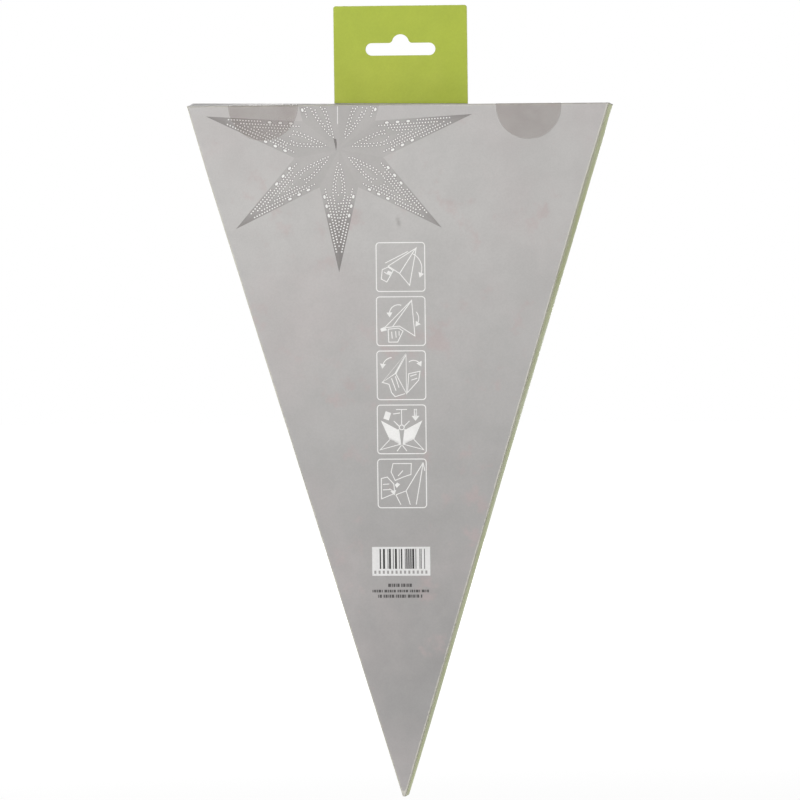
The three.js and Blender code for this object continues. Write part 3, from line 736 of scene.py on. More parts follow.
def face_towards(bm, direction):
    bm.normal_update()
    wrong = [f for f in bm.faces if f.normal.dot(direction) < 0]
    if wrong:
        bmesh.ops.reverse_faces(bm, faces=wrong)


def node_mesh(node):
    """A node's solid as a mesh of its own, with its triangles joined."""
    bm = bmesh.new()
    bm.from_mesh(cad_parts[node].data)
    bmesh.ops.remove_doubles(bm, verts=bm.verts[:], dist=JOIN)
    return bm


def half_width(z):
    return TIP_HALF + SLOPE * (z - TIP)


def swell(point):
    """How far the board bows out at a point of the back or front panel: nothing at creases and ends."""
    inward = max(0.0, 1 - (abs(point.x) / half_width(point.z)) ** 2)
    depth = clamp((LID_TOP - point.z) / (LID_TOP - TIP))
    bow = PANEL_BOW * (4 * depth * (1 - depth)) ** 0.8
    ripple = RIPPLE * noise.noise(Vector((point.x, BACK, point.z)) * RIPPLE_SCALE) * min(1.0, depth * 9)
    return inward * (bow + ripple)


def bulge(depth):
    """How far the full carton pushes its right wall out below the mouth."""
    return BULGE * clamp(depth / BULGE_RISE) * clamp((BULGE_REACH - depth) / BULGE_RUN)


def racked(point):
    """How far the carton is out of true: its mouth sways, its front rises at the left and drops elsewhere."""
    share = (point.y - BACK) / (FRONT - BACK)
    across = (1 + point.x / HALF) / 2
    mouth = clamp(1 - (LID_TOP - point.z) / RACKING_REACH)
    tip = clamp(1 - (point.z - TIP) / FRONT_TIP_REACH)
    rise = mouth * mouth * (RACKED_UP * (1 - across) - RACKED_DOWN * across)
    sway = SWAY * clamp(1 - (LID_TOP - point.z) / SWAY_REACH)
    return Vector((sway - share * tip * tip * FRONT_TIP_SHIFT, 0, share * (rise - tip * tip * FRONT_TIP_DROP)))


def settle(bm, swaying=True):
    """Moves board out of true with the carton. Print and seals keep their measured place across."""
    for v in bm.verts:
        shift = racked(v.co)
        v.co += shift if swaying else Vector((0, 0, shift.z))


def thicken(bm):
    """Gives an open skin the board's thickness inwards. Only the printed faces keep the first material."""
    bm.normal_update()
    printed = bm.faces[:]
    normals = {v.co.copy().freeze(): v.normal.copy() for v in bm.verts}
    inner, far = grow(bm)
    for v in inner:
        v.co -= normals[v.co.copy().freeze()] * BOARD
    near = {f for f in printed if f.is_valid} - set(far)
    for f in bm.faces:
        f.material_index = 0 if f in near else 1
    bmesh.ops.recalc_face_normals(bm, faces=bm.faces[:])


def carton_skin():
    """The sleeve's outer skin: a tapered tube with four rolled creases, open at its mouth and tip."""
    bm = bmesh.new()
    bmesh.ops.create_cube(bm, size=2)
    for v in bm.verts:
        half, height = (half_width(MOUTH), MOUTH) if v.co.z > 0 else (TIP_HALF, TIP)
        v.co = Vector((math.copysign(half, v.co.x), FRONT if v.co.y > 0 else BACK, height))
    bm.normal_update()
    bmesh.ops.delete(bm, geom=[f for f in bm.faces if abs(f.normal.z) > 0.9], context="FACES_ONLY")
    roll(bm, [e for e in bm.edges if abs(e.verts[0].co.z - e.verts[1].co.z) > CELL], EDGE_ROLL)
    rule_cells(bm, Z)
    slice_at(bm, Z, MOUTH - WEAR_REACH)
    return bm


def panel_piece(node, outward, material):
    """One panel of the sleeve, from the middle of one rolled crease to the middle of the next."""
    bm = carton_skin()
    keep_side(bm, outward, CREASE_MIDDLE)
    broad = abs(outward.y) > 0.5
    if broad:
        rule_cells(bm, X)
        for side in (-1, 1):
            edge = Vector((side * (half_width(MOUTH) - WEAR_REACH), 0, MOUTH))
            cut(bm, edge, Vector((side * RIGHT_OUT.x, 0, RIGHT_OUT.z)))
    else:
        rule_cells(bm, Y, WALL_CELL)
    # Pale crease band: rubbed fibre, with painted highlight and sheen. It reaches far onto the walls and is
    # strongest on the right back crease.
    wear_and_highlight = bm.verts.layers.float.new("wear_and_highlight")
    reach = WEAR_REACH if broad else WALL_WEAR_AND_SHEEN_REACH
    for v in bm.verts:
        across = half_width(v.co.z) - abs(v.co.x)
        deep = min(v.co.y - BACK, FRONT - v.co.y)
        crease = 1 - (max(across, deep) - EDGE_ROLL) / (reach - EDGE_ROLL)
        if v.co.x < 0 or v.co.y > (BACK + FRONT) / 2:
            crease *= QUIET_CREASE_SHARE
        rim = MOUTH_WEAR * (1 - (MOUTH - v.co.z) / WEAR_REACH)
        tip = 1 - (v.co.z - TIP) / TIP_WEAR_REACH
        v[wear_and_highlight] = clamp(max(crease, rim, tip))
    for v in bm.verts:
        if broad:
            v.co += outward * swell(v.co)
            if outward.y > 0 and v.co.z > MOUTH - SEAM:
                v.co.z = LID_TOP
        else:
            share = (v.co.y - BACK - EDGE_ROLL) / (FRONT - BACK - 2 * EDGE_ROLL)
            ends = min(1.0, (MOUTH - v.co.z) / BOW_RUN, (v.co.z - TIP) / BOW_RUN)
            bow = WALL_BOW * ends * (2 - ends)
            if outward.x > 0:
                bow += bulge(MOUTH - v.co.z)
            v.co += outward * bow * max(0.0, 4 * share * (1 - share))
    settle(bm)
    thicken(bm)
    piece(f"printed_{node}", bm, [material, raw], "carton", [node])


def mark_wear_and_highlight(bm, closeness):
    wear_and_highlight = bm.verts.layers.float.new("wear_and_highlight")
    for v in bm.verts:
        v[wear_and_highlight] = clamp(closeness(v.co))


def lid_skin(crease):
    """The lid's outer skin, rolled along its back and its front crease, with its under side left out."""
    bm = bmesh.new()
    bmesh.ops.create_cube(bm, size=1)
    for v in bm.verts:
        across = LID_HIGH.x if v.co.x > 0 else LID_LOW.x
        height = LID_HIGH.z if v.co.z > 0 else LID_LOW.z - SEAM
        v.co = Vector((across, crease if v.co.y > 0 else LID_LOW.y, height))
    middles = [(e, (e.verts[0].co + e.verts[1].co) / 2) for e in bm.edges]
    roll(bm, [e for e, middle in middles if middle.z > LID_TOP - SEAM and abs(middle.x) < MM], CREASE_ROLL)
    keep_side(bm, UPWARDS, 0.2)
    return bm


def lid_piece():
    """The lid: rolled over the tuck flap's crease at the back, and cut into strips along its hinge at the front
    panel's top edge.
    """
    crease = FRONT - BOARD - SEAM
    bm = lid_skin(crease)
    rule_cells(bm, X)
    for inset in LID_CUTS:
        slice_at(bm, Y, BACK + inset)
    bend_end = LID_HIGH.y - HINGE_BEND
    for step in range(HINGE_STEPS + 1):
        slice_at(bm, Y, bend_end + step * HINGE_BEND / HINGE_STEPS)
    beside_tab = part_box("tab_back_ply")[1].x + 2 * SEAM
    for side in (-1, 1):
        slice_at(bm, X, side * beside_tab - SWAY)
    middles = [(f, f.calc_center_median()) for f in bm.faces]
    behind_tab = [f for f, middle in middles if middle.y > LID_HIGH.y and abs(middle.x + SWAY) < beside_tab]
    bmesh.ops.delete(bm, geom=behind_tab, context="FACES")

    # Pale back edge of the lid: rubbed fibre, and a painted highlight that fades from left to right.
    def closeness(co):
        across = LID_WEAR_AND_HIGHLIGHT - LID_HIGHLIGHT_FALL * co.x / HALF
        return across * (1 - (co.y - BACK - CREASE_ROLL) / (WEAR_REACH - CREASE_ROLL))

    mark_wear_and_highlight(bm, closeness)
    for v in bm.verts:
        share = (v.co.y - BACK) / (LID_HIGH.y - BACK)
        v.co.z -= LID_SAG * (4 * share * (1 - share)) * (1 + noise.noise(v.co * LID_RIPPLE_SCALE))
    settle(bm)
    thicken(bm)
    bend = ("carton", "carton_lid", (0, crease, LID_TOP), (0, bend_end, LID_TOP))
    piece("creased_lid", bm, [grey, raw], bend, ["lid"])


def tuck_piece():
    """The tuck flap behind the back panel, with a rolled top and rounded corners."""
    low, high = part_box("tuck_flap")
    top = LID_LOW.z - TUCK_INSET
    bm = bmesh.new()
    bmesh.ops.create_grid(bm, x_segments=1, y_segments=1, size=0.5)
    for v in bm.verts:
        v.co = Vector((high.x if v.co.x > 0 else low.x, low.y, top if v.co.y > 0 else low.z))
    roll(bm, [v for v in bm.verts if v.co.z < low.z + MM], TUCK_CORNER, affect="VERTICES")
    face_towards(bm, BACK_OUT)
    rule_cells(bm, X)
    slice_at(bm, Z, top - WEAR_REACH)
    mark_wear_and_highlight(bm, lambda co: 1 - (top - co.z) / WEAR_REACH)
    for v in bm.verts:
        drop = (top - v.co.z) / (top - low.z)
        v.co.y += RIPPLE * noise.noise(v.co * TUCK_RIPPLE_SCALE) * drop
    settle(bm)
    thicken(bm)
    piece("creased_tuck_flap", bm, [grey, raw], "tuck", ["tuck_flap"])


def dust_piece(hand, side):
    """A dust flap that folds in from the wall's top, tapered towards the lid's crease."""
    node = f"{hand}_dust_flap"
    low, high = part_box(node)
    bm = node_mesh(node)
    keep_side(bm, UPWARDS)
    root = high.x if side > 0 else -low.x
    bmesh.ops.spin(
        bm,
        geom=[e for e in bm.edges if all(side * v.co.x > root - SEAM for v in e.verts)],
        cent=Vector((side * root, 0, high.z - CREASE_ROLL)),
        axis=Vector((0, side, 0)),
        angle=LIP_TURN,
        steps=3,
        use_duplicate=False,
    )
    rule_cells(bm, X)
    rule_cells(bm, Y)
    face_towards(bm, Vector((side * 0.4, 0, 1)))
    mark_wear_and_highlight(bm, lambda co: 1 - (root - side * co.x) / WEAR_REACH)
    for v in bm.verts:
        inward = max(0.0, (root - side * v.co.x) / (high.x - low.x))
        v.co.z += RIPPLE * noise.noise(v.co * DUST_RIPPLE_SCALE) * inward
    settle(bm)
    thicken(bm)
    piece(f"creased_{node}", bm, [green, raw], f"{hand}_dust", [node])


def tab_piece(node, outward):
    """One ply of the hang tab, with its slot die cut through. The printed side faces out."""
    low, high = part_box(node)
    bm = node_mesh(node)
    keep_side(bm, outward)
    bmesh.ops.dissolve_limit(bm, angle_limit=math.radians(1), verts=bm.verts[:], edges=bm.edges[:])
    sides = [v for v in bm.verts if abs(abs(v.co.x) - HUMP_RADIUS) < 0.1 * MM and abs(v.co.z) < MM]
    shoulders = [v for v in sides if v.co.z < SEAM]
    bmesh.ops.dissolve_verts(bm, verts=[v for v in sides if v not in shoulders])
    roll(bm, shoulders, HUMP_SHOULDER, HUMP_STEPS, "VERTICES")
    foot = LID_TOP + 2 * SEAM if outward.y > 0 else low.z
    for v in bm.verts:
        if v.co.z < low.z + SEAM:
            v.co.z = foot
    bmesh.ops.triangulate(bm, faces=bm.faces[:])
    rule_cells(bm, Z)
    rule_cells(bm, X)
    for side in (-1, 1):
        slice_at(bm, X, side * (high.x - TAB_RIM))
    slice_at(bm, Z, high.z - TAB_RIM)
    mark_wear_and_highlight(bm, lambda co: TAB_WEAR - min(high.x - abs(co.x), high.z - co.z) / TAB_WEAR_REACH)
    for v in bm.verts:
        if v.co.z < foot + SEAM:
            v.co.z += racked(Vector((v.co.x, FRONT, LID_TOP))).z
    thicken(bm)
    piece(f"printed_{node}", bm, [green, raw], "hang_tab", [node])


def glue_flap_piece():
    """The flap that closes the sleeve, glued flat inside the back panel."""
    bm = node_mesh("glue_flap")
    keep_side(bm, BACK_OUT)
    rule_cells(bm, Z)
    rule_cells(bm, X)
    for v in bm.verts:
        v.co.y -= swell(v.co)
    thicken(bm)
    piece("glued_flap", bm, [raw, raw], "carton", ["glue_flap"])


# Artwork


def draw(bm, points):
    """A flat face from points given across and up, seen from the back panel's side."""
    return bm.faces.new([bm.verts.new((across, 0, up)) for across, up in points])


def ink_piece(name, bm, ink, layers=1, face=-1, bowed=False):
    """Lays flat artwork on the back (-1) or front (1) panel, as a thin film of ink."""
    if bowed:
        rule_cells(bm, X)
        rule_cells(bm, Z)
    plane = BACK if face < 0 else FRONT
    for v in bm.verts:
        v.co.y = plane + face * (swell(v.co) + INK_BASE)
    settle(bm, swaying=False)
    face_towards(bm, Vector((0, face, 0)))
    bmesh.ops.translate(bm, vec=Vector((0, face * INK_LIFT * layers, 0)), verts=grow(bm)[0])
    bmesh.ops.recalc_face_normals(bm, faces=bm.faces[:])
    piece(name, bm, [ink], "carton")


def arm_marks(ray, valleys, unit):
    """Marks on one arm: rows along both edges, threes of longer marks, a drop and a row on the fold."""
    out = ray.normalized()
    aside = Vector((-out.y, out.x))
    marks = []
    for valley in valleys:
        run = (ray - valley).length
        along = (ray - valley).normalized()
        inward = Vector((-along.y, along.x))
        if inward.dot(aside) * valley.dot(aside) > 0:
            inward.negate()
        for share in EDGE_THREES_SHARES:
            point = valley + along * run * share + inward * THREES_INSET_UNITS * unit
            marks.append((point, along, THREES_UNITS * unit, THREES_STRETCH))
        for inset, first_share, last_share in EDGE_ROWS_SHARES:
            start = valley + inward * inset * unit
            ends = [start + along * run * share for share in (first_share, last_share)]
            for point in row(*ends, EDGE_PITCH_UNITS * unit):
                if point.dot(aside) * valley.dot(aside) > EDGE_CLEARANCE_UNITS * unit * abs(valley.dot(aside)):
                    marks.append((point, along, MARK_UNITS * unit, 1.0))
    for count, size in DROP_MARKS:
        for i in range(count):
            angle = 2 * math.pi * (i + 0.5) / count
            fullness = DROP_FULLNESS + (1 - DROP_FULLNESS) * math.cos(angle)
            along = (DROP_PLACE_SHARE + DROP_LENGTH_SHARE * size * math.cos(angle)) * ray.length
            across = DROP_WIDTH_SHARE * size * ray.length * math.sin(angle) * fullness
            marks.append((out * along + aside * across, out, MARK_UNITS * unit, 1.0))
    for point in row(*[ray * share for share in FOLD_ROW_SHARES], FOLD_PITCH_UNITS * unit):
        marks.append((point, out, FOLD_MARK_UNITS * unit, 1.0))
    return marks


def star_print(name, face, place, tips, inks, unit, outline_place):
    """A printed seven-pointed paper star: folded facets, and rows of punched light."""
    ink, shade_ink = inks
    ceiling = LID_TOP - CREASE_ROLL
    centre = Vector(place)
    facets, shade, light = bmesh.new(), bmesh.new(), bmesh.new()
    reach = facets.verts.layers.float.new("reach")
    fold = facets.faces.layers.float.new("fold")
    placed = []
    for i, tip in enumerate(tips):
        ray = Vector(tip)
        valleys = [(ray + Vector(tips[j % len(tips)])) / 2 * STAR_VALLEY_SHARE for j in (i - 1, i + 1)]
        for side, valley in enumerate(valleys):
            facet = draw(facets, [outline_place(*p) for p in (centre, centre + valley, centre + ray)])
            facet[fold] = side
            for v, value in zip(facet.verts, (0.0, STAR_VALLEY_SHARE, STAR_TIP_SHADES[i])):
                v[reach] = value
        for point, along, radius, stretch in arm_marks(ray, valleys, unit):
            across, up = outline_place(*(centre + point))
            crowded = any((point - other).length < MARK_GAP_UNITS * unit for other in placed)
            if up > ceiling - radius or crowded:
                continue
            placed.append(point)
            lie = Matrix.Rotation(math.radians(90), 4, "X") @ Matrix.Diagonal((stretch, 1, 1, 1))
            turn = Matrix.Rotation(math.atan2(along.y, along.x), 4, "Y")
            spot = Matrix.Translation((across, 0, up)) @ turn @ lie
            for layer, size in ((shade, radius + MARK_SHADE_UNITS * unit), (light, radius)):
                bmesh.ops.create_circle(layer, cap_ends=True, segments=MARK_SIDES, radius=size, matrix=spot)
    bmesh.ops.remove_doubles(facets, verts=facets.verts[:], dist=JOIN)
    slice_at(facets, Z, ceiling, drop_outer=True)
    ink_piece(f"{name}_facets", facets, ink, 1, face, bowed=True)
    ink_piece(f"{name}_punched_shade", shade, shade_ink, 1.4, face)
    ink_piece(f"{name}_punched_light", light, white_ink, 1.8, face)


def row(start, end, spacing):
    """Points along a line, as evenly spaced as it allows."""
    count = max(1, round((end - start).length / spacing))
    return [start.lerp(end, (i + 0.5) / count) for i in range(count)]


def star_details():
    """The slit at the printed star's middle and the pale cord that it hangs on."""
    across, down = STAR_PLACE
    bm = bmesh.new()
    draw(bm, [on_print(across + x * MM, down + y * MM) for x, y in SLIT_OUTLINE])
    ink_piece("printed_star_slit", bm, slit_ink, 2)
    bm = bmesh.new()
    draw_line(bm, [Vector(on_print(across - CORD_ASIDE, depth)) for depth in CORD_DEPTHS], CORD_WIDTH)
    ink_piece("printed_star_cord", bm, white_ink, 2)


def draw_line(bm, points, width, closed=False):
    """A line of even width through points, with mitred corners."""
    count = len(points)
    sides = ([], [])
    for i, point in enumerate(points):
        before = points[i - 1] if closed or i else points[0] * 2 - points[1]
        after = points[(i + 1) % count] if closed or i < count - 1 else point * 2 - points[i - 1]
        first = (point - before).normalized()
        second = (after - point).normalized()
        normal = Vector((-first.y - second.y, first.x + second.x)).normalized()
        miter = width / 2 / max(MITRE_LIMIT, normal.dot(Vector((-first.y, first.x))))
        sides[0].append(point + normal * miter)
        sides[1].append(point - normal * miter)
    left, right = [[bm.verts.new((p.x, 0, p.y)) for p in side] for side in sides]
    for i in range(count if closed else count - 1):
        j = (i + 1) % count
        bm.faces.new((left[i], left[j], right[j], right[i]))


def arrow_head(bm, tip, direction, size):
    direction = Vector(direction).normalized()
    aside = direction.orthogonal() * ARROW_HEAD_HALF
    draw(bm, [tip, tip + (aside - direction) * size, tip - (aside + direction) * size])


def arc_points(centre, radius, start, end, steps=9):
    """Points round an arc, from one angle in degrees to another."""
    angles = [math.radians(start + (end - start) * i / steps) for i in range(steps + 1)]
    return [(centre[0] + radius * math.cos(a), centre[1] + radius * math.sin(a)) for a in angles]


# How the star is unfolded, in shares of a pictogram's half size. An arc is its centre, radius and two angles.
PICTOGRAM_SHARES = (
    {
        "loops": [
            [(0.64, 0.76), (-0.5, 0.04), (-0.04, -0.26), (0.36, -0.74)],
            [(-0.5, 0.0), (-0.74, -0.1), (-0.78, -0.48), (-0.56, -0.6), (-0.3, -0.14)],
        ],
        "lines": [
            [(0.6, 0.72), (-0.04, -0.26)], [(0.3, 0.62), (-0.62, 0.16)], [(-0.66, -0.2), (-0.52, -0.3)],
        ],
        "solids": [[(-0.5, -0.14), (-0.36, -0.2), (-0.44, -0.34), (-0.58, -0.26)]],
        "arcs": [((0.2, -0.06), 0.66, 62, -24)],
    },
    {
        "loops": [
            [(0.44, 0.84), (-0.66, -0.26), (-0.06, -0.2), (0.56, -0.6)],
            [(-0.52, -0.32), (-0.5, -0.84), (-0.14, -0.84), (0.08, -0.4), (-0.1, -0.28)],
        ],
        "lines": [
            [(0.42, 0.8), (-0.34, -0.22)], [(-0.38, -0.42), (-0.36, -0.7)],
            [(-0.22, -0.4), (-0.2, -0.66)], [(-0.08, -0.4), (-0.08, -0.58)],
        ],
        "solids": [[(-0.84, -0.3), (-0.66, -0.22), (-0.56, -0.36), (-0.8, -0.42)]],
        "arcs": [((-0.1, 0.3), 0.36, 70, 190), ((0.3, 0.1), 0.42, 40, -40)],
    },
    {
        "loops": [
            [(0.18, 0.86), (-0.78, -0.28), (-0.26, 0.06)], [(0.2, 0.82), (-0.22, 0.06), (0.2, -0.74)],
            [(0.24, -0.7), (0.3, 0.06), (0.76, 0.16), (0.7, -0.2)],
        ],
        "lines": [
            [(-0.78, -0.28), (-0.5, -0.36), (-0.4, -0.7), (-0.26, -0.86), (0.14, -0.74)],
            [(-0.4, -0.12), (-0.22, -0.62)], [(-0.24, -0.04), (-0.1, -0.5)],
            [(0.36, -0.04), (0.62, 0.04)], [(0.4, -0.2), (0.64, -0.12)],
        ],
        "solids": [],
        "arcs": [((-0.34, 0.3), 0.42, 96, 176), ((0.5, 0.3), 0.3, 130, 20)],
    },
    {
        "loops": [
            [(-0.46, -0.38), (-0.88, -0.82), (-0.06, -0.6)], [(0.46, -0.38), (0.88, -0.82), (0.06, -0.6)],
            arc_points((0, 0.08), 0.1, 0, 324),
        ],
        "lines": [
            [(-0.22, 0.8), (0.22, 0.8)], [(0, 0.8), (0, 0.2)], [(-0.1, 0.12), (-0.32, 0.34)],
            [(0.1, 0.12), (0.32, 0.34)], [(-0.1, 0), (-0.28, -0.06)], [(0.1, 0), (0.28, -0.06)],
            [(-0.02, -0.64), (-0.2, -0.88)], [(0.02, -0.64), (0.2, -0.88)],
            [(-0.34, 0.62), (-0.06, 0.66)], [(0.56, 0.82), (0.56, 0.56)],
        ],
        "solids": [
            [(-0.84, 0.36), (-0.1, -0.04), (-0.03, -0.6), (-0.5, -0.4)],
            [(0.84, 0.36), (0.5, -0.4), (0.03, -0.6), (0.1, -0.04)],
            [(-0.74, 0.44), (-0.52, 0.36), (-0.42, 0.66), (-0.64, 0.74)],
            [(0.5, 0.82), (0.62, 0.82), (0.62, 0.5), (0.5, 0.5)],
            [(0.4, 0.54), (0.72, 0.54), (0.56, 0.34)],
        ],
        "arcs": [],
    },
    {
        "loops": [
            [(-0.36, 0.8), (-0.44, 0.46), (-0.28, 0.12), (0.06, 0.26), (0.36, 0.36), (0.38, 0.8)],
            [(-0.84, 0.2), (-0.6, 0.26), (-0.34, -0.02), (-0.3, -0.4), (-0.84, -0.62)],
        ],
        "lines": [
            [(0.86, 0.84), (0.16, -0.3), (0.32, -0.86)], [(0.86, 0.84), (0.56, -0.86)],
            [(-0.26, -0.46), (0.16, -0.3)], [(-0.26, -0.46), (-0.06, -0.86)],
            [(-0.16, 0.3), (0.04, 0.52)], [(-0.78, -0.04), (-0.52, -0.02)],
            [(-0.78, -0.26), (-0.46, -0.24)], [(0.86, 0.84), (0.92, 0.5)],
        ],
        "solids": [[(-0.3, -0.06), (-0.2, 0.04), (-0.08, -0.04), (-0.22, -0.18)]],
        "arcs": [((-0.62, -0.5), 0.3, 70, 10)],
    },
)


def pictogram(index, shares):
    """One rounded square with its line drawing."""
    aside, down = PRINT_AXIS + index * PICTOGRAM_DRIFT, PICTOGRAM_FIRST + index * PICTOGRAM_PITCH
    centre = Vector(on_print(aside, down))
    half = PICTOGRAM_SIZE / 2

    def local(points):
        return [centre + Vector(point) * half for point in points]

    bm = bmesh.new()
    square = draw(bm, local([(-1, -1), (1, -1), (1, 1), (-1, 1)]))
    roll(bm, list(square.verts), PICTOGRAM_CORNER, affect="VERTICES")
    inside = bm.faces[:]
    bmesh.ops.inset_region(bm, faces=inside, thickness=LINE_WIDTH, use_boundary=True, use_even_offset=True)
    bmesh.ops.delete(bm, geom=inside, context="FACES")
    for points in shares["loops"]:
        draw_line(bm, local(points), DRAWN_LINE_WIDTH, closed=True)
    for points in shares["lines"]:
        draw_line(bm, local(points), DRAWN_LINE_WIDTH)
    for points in shares["solids"]:
        draw(bm, local(points))
    for arc in shares["arcs"]:
        points = local(arc_points(*arc))
        draw_line(bm, points, DRAWN_LINE_WIDTH)
        onward = points[-1] - points[-2]
        arrow_head(bm, points[-1] + onward, onward, half * ARROW_HEAD_SHARE)
    ink_piece(f"printed_pictogram_{index + 1}", bm, white_ink)


def block_of_ink(bm, left, right, low, high):
    draw(bm, [(left, low), (right, low), (right, high), (left, high)])


def bar_label():
    """A pale label with plain bars, and a row of small blocks below them."""
    across, up = on_print(PRINT_AXIS, BAR_LABEL_DEPTH)
    half, tall = BAR_LABEL_SIZE[0] / 2, BAR_LABEL_SIZE[1] / 2
    foot, head = up - tall, up + tall
    bm = bmesh.new()
    block_of_ink(bm, across - half, across + half, foot, head)
    ink_piece("bar_label", bm, label_ink, bowed=True)

    bm = bmesh.new()
    left = across - half + LABEL_BARS_LEFT
    unit = (across + half - LABEL_MARGIN - left) / sum(LABEL_BAR_SHARES)
    for i, width in enumerate(LABEL_BAR_SHARES):
        if i % 2 == 0:
            block_of_ink(bm, left, left + width * unit, foot + LABEL_BARS_FOOT, head - LABEL_MARGIN)
        left += width * unit
    ink_piece("label_bars", bm, black_ink, 2)

    bm = bmesh.new()
    for i in range(LABEL_BLOCKS):
        left = across - half + LABEL_MARGIN + i * LABEL_BLOCK_PITCH
        block_of_ink(bm, left, left + LABEL_BLOCK_WIDTH, foot + LABEL_MARGIN, foot + LABEL_BLOCK_TOP)
    ink_piece("label_blocks", bm, pale_ink, 2)


def small_print():
    """Three rows of plain blocks where such a carton has its small print."""
    bm = bmesh.new()
    turn = 0
    for down, half, tall in SMALL_PRINT_ROWS:
        across, up = on_print(PRINT_AXIS - SMALL_PRINT_ASIDE, down * MM)
        left = across - half * MM
        while left < across + half * MM - SMALL_PRINT_LEAST:
            width = SMALL_PRINT_WIDTHS[turn % len(SMALL_PRINT_WIDTHS)] * MM
            block_of_ink(bm, left, left + width, up - tall * MM, up + tall * MM)
            turn += 1
            left += width + (SMALL_PRINT_GAP if turn % SMALL_PRINT_WORD else SMALL_PRINT_WORD_GAP)
    ink_piece("small_print_blocks", bm, fine_ink)


# Seals


def seal_half(name, part):
    """Half of a round film seal: flat on the panel or the lid, and rolled half way round the lid's crease."""
    node = f"{name}_seal_{part}_half"
    low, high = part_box(node)
    centre, radius = (low.x + high.x) / 2, (high.x - low.x) / 2
    across, down = SEAL_SLIDES[name]
    bm = bmesh.new()
    bmesh.ops.create_circle(bm, cap_ends=True, segments=SEAL_SEGMENTS, radius=radius)
    bmesh.ops.inset_region(bm, faces=bm.faces[:], thickness=SEAL_RIM, use_boundary=True)
    rim = bm.verts.layers.float.new("rim")
    for v in bm.verts:
        v[rim] = 1.0 if v.co.length > radius - SEAL_RIM / 2 else 0.0
    slide = Vector((0, -down if part == "panel" else down, 0))
    bmesh.ops.translate(bm, vec=slide, verts=bm.verts[:])
    slice_at(bm, Y, 0, drop_outer=True)
    for share in (1, 2, 3):
        slice_at(bm, Y, -share * CREASE_ROLL * math.pi / 12)
    rule_cells(bm, X, SEAL_CELL)
    rule_cells(bm, Y, SEAL_CELL)
    face_towards(bm, UPWARDS)
    bmesh.ops.translate(bm, vec=Vector((0, 0, SEAL_FILM)), verts=grow(bm)[0])
    for v in bm.verts:
        turn = min(-v.co.y / CREASE_ROLL, math.pi / 4)
        flat = -v.co.y - CREASE_ROLL * turn
        folds = noise.noise(Vector((v.co.x + centre, v.co.y * SEAL_WRINKLE_STRETCH, 0)) * SEAL_WRINKLE_SCALE)
        wrinkle = SEAL_WRINKLE * max(0.0, folds) * min(1, flat / MM)
        spread = CREASE_ROLL + SEAL_LIFT + v.co.z + wrinkle
        near = spread * math.cos(math.pi / 4 - turn)
        far = spread * math.sin(math.pi / 4 - turn) - flat
        v.co.x += centre + across
        if part == "panel":
            v.co.y, v.co.z = BACK + CREASE_ROLL - near, LID_TOP - CREASE_ROLL + far
            v.co.y -= swell(v.co)
        else:
            v.co.y, v.co.z = BACK + CREASE_ROLL - far, LID_TOP - CREASE_ROLL + near
    settle(bm, swaying=False)
    bmesh.ops.recalc_face_normals(bm, faces=bm.faces[:])
    body = "carton" if part == "panel" else "carton_lid"
    piece(f"{name}_film_on_{part}", bm, [film], body, [node])


# Contents


def dressed(node, material, body, rounding):
    """A copy of a node's solid with its edges broken, which stands for it."""
    bm = node_mesh(node)
    bmesh.ops.dissolve_limit(bm, angle_limit=math.radians(1), verts=bm.verts[:], edges=bm.edges[:])
    sharp = [e for e in bm.edges if e.is_manifold and e.calc_face_angle(0) > SHARP_EDGE]
    roll(bm, sharp, rounding, 2, clamp_overlap=True)
    piece(f"finished_{node}", bm, [material], body, [node])


def turned(profile, place, steps=32):
    """A solid turned from pairs of radius and height about its own Z, then put in its place."""
    bm = bmesh.new()
    chain = [bm.verts.new((radius, 0, height)) for radius, height in profile]
    edges = [bm.edges.new(pair) for pair in zip(chain, chain[1:])]
    bmesh.ops.spin(
        bm,
        geom=chain + edges,
        cent=(0, 0, 0),
        axis=(0, 0, 1),
        angle=2 * math.pi,
        steps=steps,
        use_merge=True,
        use_duplicate=False,
    )
    bmesh.ops.remove_doubles(bm, verts=bm.verts[:], dist=1e-7)
    bmesh.ops.recalc_face_normals(bm, faces=bm.faces[:])
    bmesh.ops.transform(bm, matrix=place, verts=bm.verts[:])
    return bm


def battery_cell(index):
    """A cell in its shrink sleeve, with its nub. Every second one lies the other way round."""
    node = f"battery_cell_{index + 1}"
    low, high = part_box(node)
    radius = (high.z - low.z) / 2
    length = high.x - low.x
    can = length - CELL_NUB
    profile = [
        (0, 0),
        (radius - 1.6 * MM, 0),
        (radius - 0.8 * MM, 0.1 * MM),
        (radius - 0.1 * MM, 0.5 * MM),
        (radius, 1.1 * MM),
        (radius, can - 1.1 * MM),
        (radius - 0.1 * MM, can - 0.5 * MM),
        (radius - 0.8 * MM, can - 0.1 * MM),
        (radius - 1.6 * MM, can - 0.1 * MM),
        (3.2 * MM, can - 0.15 * MM),
        (2.75 * MM, can),
        (2.75 * MM, length - 0.3 * MM),
        (2.4 * MM, length),
        (0, length),
    ]
    bm = turned(profile, Matrix.Identity(4))
    along = bm.verts.layers.float.new("along")
    for v in bm.verts:
        v[along] = v.co.z / length
    for share in (0.2, 0.8):
        slice_at(bm, Z, (CELL_BAND_SHARE + share * CELL_BAND_EDGE) * length)
    flipped = index % 2 == 1
    start = Vector((high.x if flipped else low.x, (low.y + high.y) / 2, (low.z + high.z) / 2))
    turn = Matrix.Rotation(math.radians(-90 if flipped else 90), 4, "Y")
    bmesh.ops.transform(bm, matrix=Matrix.Translation(start) @ turn, verts=bm.verts[:])
    piece(f"finished_{node}", bm, [sleeve], "carton", [node])


